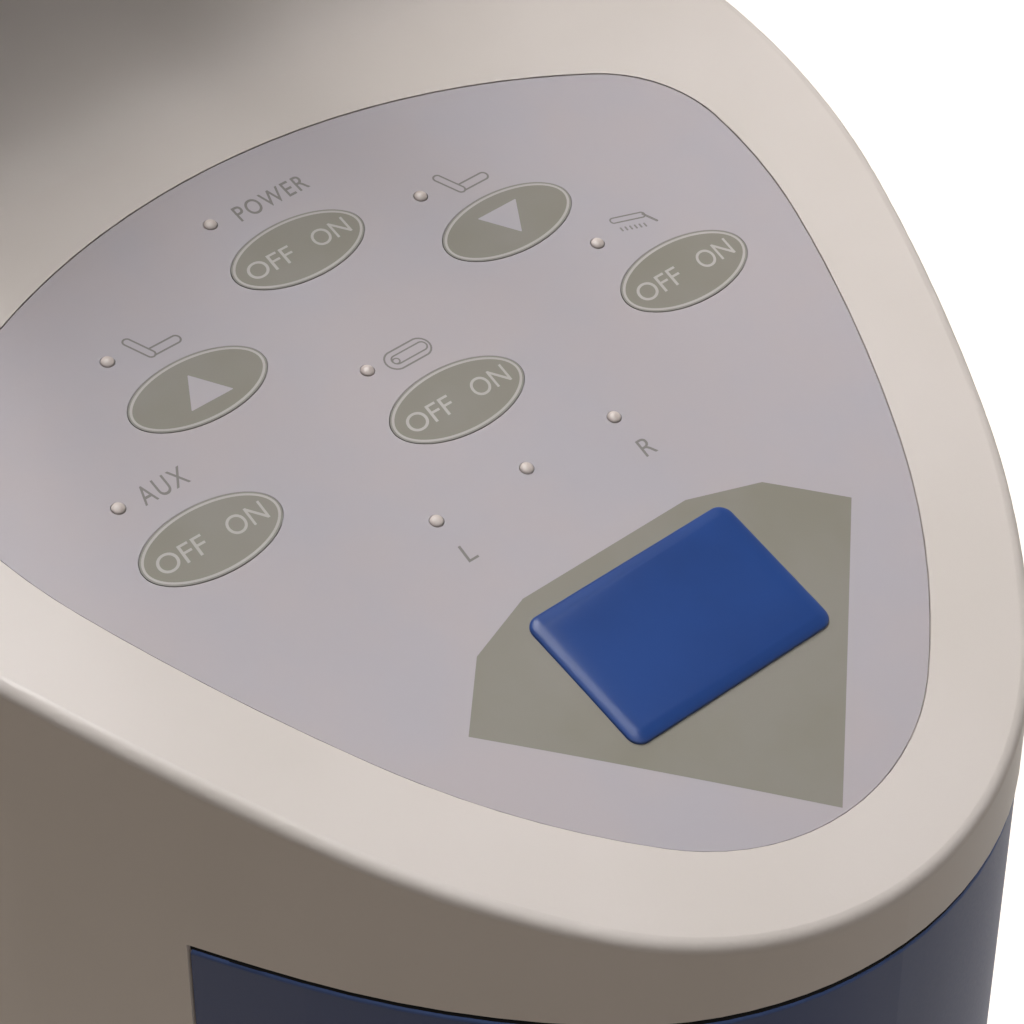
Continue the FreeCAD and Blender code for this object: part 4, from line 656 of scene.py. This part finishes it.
def light_paths(tree):
    """Whether a ray comes from the camera, straight or through glass, and whether from gloss."""
    path = add(tree, "ShaderNodeLightPath")
    seen = add(tree, "ShaderNodeMath", [
        (0, path.outputs["Is Camera Ray"]), (1, path.outputs["Is Transmission Ray"])],
        operation="MAXIMUM")
    return seen.outputs[0], path.outputs["Is Glossy Ray"]


bpy.ops.object.select_all(action="DESELECT")
bpy.ops.mesh.primitive_plane_add(size=FLOOR_SIZE, location=(0, 0, 0))
floor = bpy.context.object
floor.name = "studio_floor"
studio_white = bpy.data.materials.new("studio white")
studio_white.use_nodes = True
tree = studio_white.node_tree
tree.nodes.clear()
seen, mirrored = light_paths(tree)
shown = add(tree, "ShaderNodeMath", [(0, seen), (1, SHOWN_WHITE)], operation="MULTIPLY")
share = add(tree, "ShaderNodeMath", [(0, mirrored), (1, MIRRORED_WHITE), (2, shown.outputs[0])],
            operation="MULTIPLY_ADD")
paint = add(tree, "ShaderNodeBsdfDiffuse", [(0, linear("D0C0AD"))])
glow = add(tree, "ShaderNodeEmission", [(0, PURE_WHITE), (1, share.outputs[0])])
both = add(tree, "ShaderNodeAddShader", [(0, paint.outputs[0]), (1, glow.outputs[0])])
add(tree, "ShaderNodeOutputMaterial", [(0, both.outputs[0])])
floor.data.materials.append(studio_white)

# Surround: white to the camera and nearly dark as a light. What shines in the finishes is
# a grey room that darkens upwards, with a brighter window over the left front.
AIR_LIGHT = 0.02
ROOM_HEIGHTS, ROOM_LIGHT = (0.1, 0.8), (0.9, 0.12)
WINDOW_SIDE = (-0.50, -0.56, 0.66)
WINDOW_EDGE, WINDOW_LIGHT = (0.55, 0.95), (0.0, 1.6)
world = bpy.data.worlds.new("studio air")
bpy.context.scene.world = world
world.use_nodes = True
tree = world.node_tree
tree.nodes.clear()
seen, mirrored = light_paths(tree)
toward = add(tree, "ShaderNodeTexCoord").outputs["Generated"]
height = add(tree, "ShaderNodeSeparateXYZ", [(0, toward)])
room = add(tree, "ShaderNodeMapRange", [
    (0, height.outputs[2]), (1, ROOM_HEIGHTS[0]), (2, ROOM_HEIGHTS[1]),
    (3, ROOM_LIGHT[0]), (4, ROOM_LIGHT[1])])
side = add(tree, "ShaderNodeVectorMath", [(0, toward), (1, WINDOW_SIDE)], operation="DOT_PRODUCT")
window = add(tree, "ShaderNodeMapRange", [
    (0, side.outputs["Value"]), (1, WINDOW_EDGE[0]), (2, WINDOW_EDGE[1]),
    (3, WINDOW_LIGHT[0]), (4, WINDOW_LIGHT[1])])
room = add(tree, "ShaderNodeMath", [(0, room.outputs[0]), (1, window.outputs[0])], operation="ADD")
air = add(tree, "ShaderNodeBackground", [(0, linear("F2EFEC")), (1, AIR_LIGHT)])
shine = add(tree, "ShaderNodeBackground", [(0, linear("FBF9F7")), (1, room.outputs[0])])
white = add(tree, "ShaderNodeBackground", [(0, PURE_WHITE), (1, 1.0)])
both = add(tree, "ShaderNodeMixShader", [(0, mirrored), (1, air.outputs[0]), (2, shine.outputs[0])])
both = add(tree, "ShaderNodeMixShader", [(0, seen), (1, both.outputs[0]), (2, white.outputs[0])])
add(tree, "ShaderNodeOutputWorld", [(0, both.outputs[0])])

# Lights: three softboxes above and behind the console, and two weak spots from the front that
# lift the nose of the rim and the top edge of the front panel.
STUDIO_LIGHT = (1.0, 0.985, 0.98)
SPOT_SOFTNESS = 0.15


def lamp_at(kind, name, place, aim, power):
    """A lamp at a place, aimed at a point."""
    bpy.ops.object.light_add(type=kind, location=place)
    lamp = bpy.context.object
    lamp.name = name
    lamp.rotation_euler = (Vector(aim) - Vector(place)).to_track_quat("-Z", "Y").to_euler()
    lamp.data.energy = power
    lamp.data.color = STUDIO_LIGHT
    return lamp.data


for name, place, size, power in (("rear_softbox", (0.25, 0.90, 2.40), 0.9, 25.5),
                                 ("overhead_softbox", (0.10, 0.30, 2.70), 0.9, 20.4),
                                 ("high_softbox", (0.25, 1.09, 5.61), 2.25, 93.8)):
    lamp_at("AREA", name, place, PANEL.translation, power).size = size
for name, place, aim, angle, power in (
        ("nose_spot", (0.05, -0.70, 2.65), (0.03, -0.31, 0.74), 10, 38),
        ("front_spot", (-0.60, -1.40, 2.10), (-0.07, -0.28, 0.66), 13, 13)):
    spot = lamp_at("SPOT", name, place, aim, power)
    spot.spot_size = math.radians(angle)
    spot.spot_blend = 1.0
    spot.shadow_soft_size = SPOT_SOFTNESS

# Camera: a long lens close above the console's left front, as the photograph was taken.
# Its place and direction were fitted to the key panel, the rim and the outline.
CAMERA_PLACE = (-0.3842, -0.6516, 1.2571)
CAMERA_LOOK = (0.4981, 0.5587, -0.6631)
bpy.ops.object.camera_add(location=CAMERA_PLACE)
camera = bpy.context.object
camera.name = "console_camera"
camera.rotation_euler = Vector(CAMERA_LOOK).to_track_quat("-Z", "Y").to_euler()
camera.data.lens = 137.77
camera.data.sensor_width = 36
camera.data.clip_start = 0.01
bpy.context.scene.camera = camera
bpy.context.scene.view_settings.view_transform = "Standard"
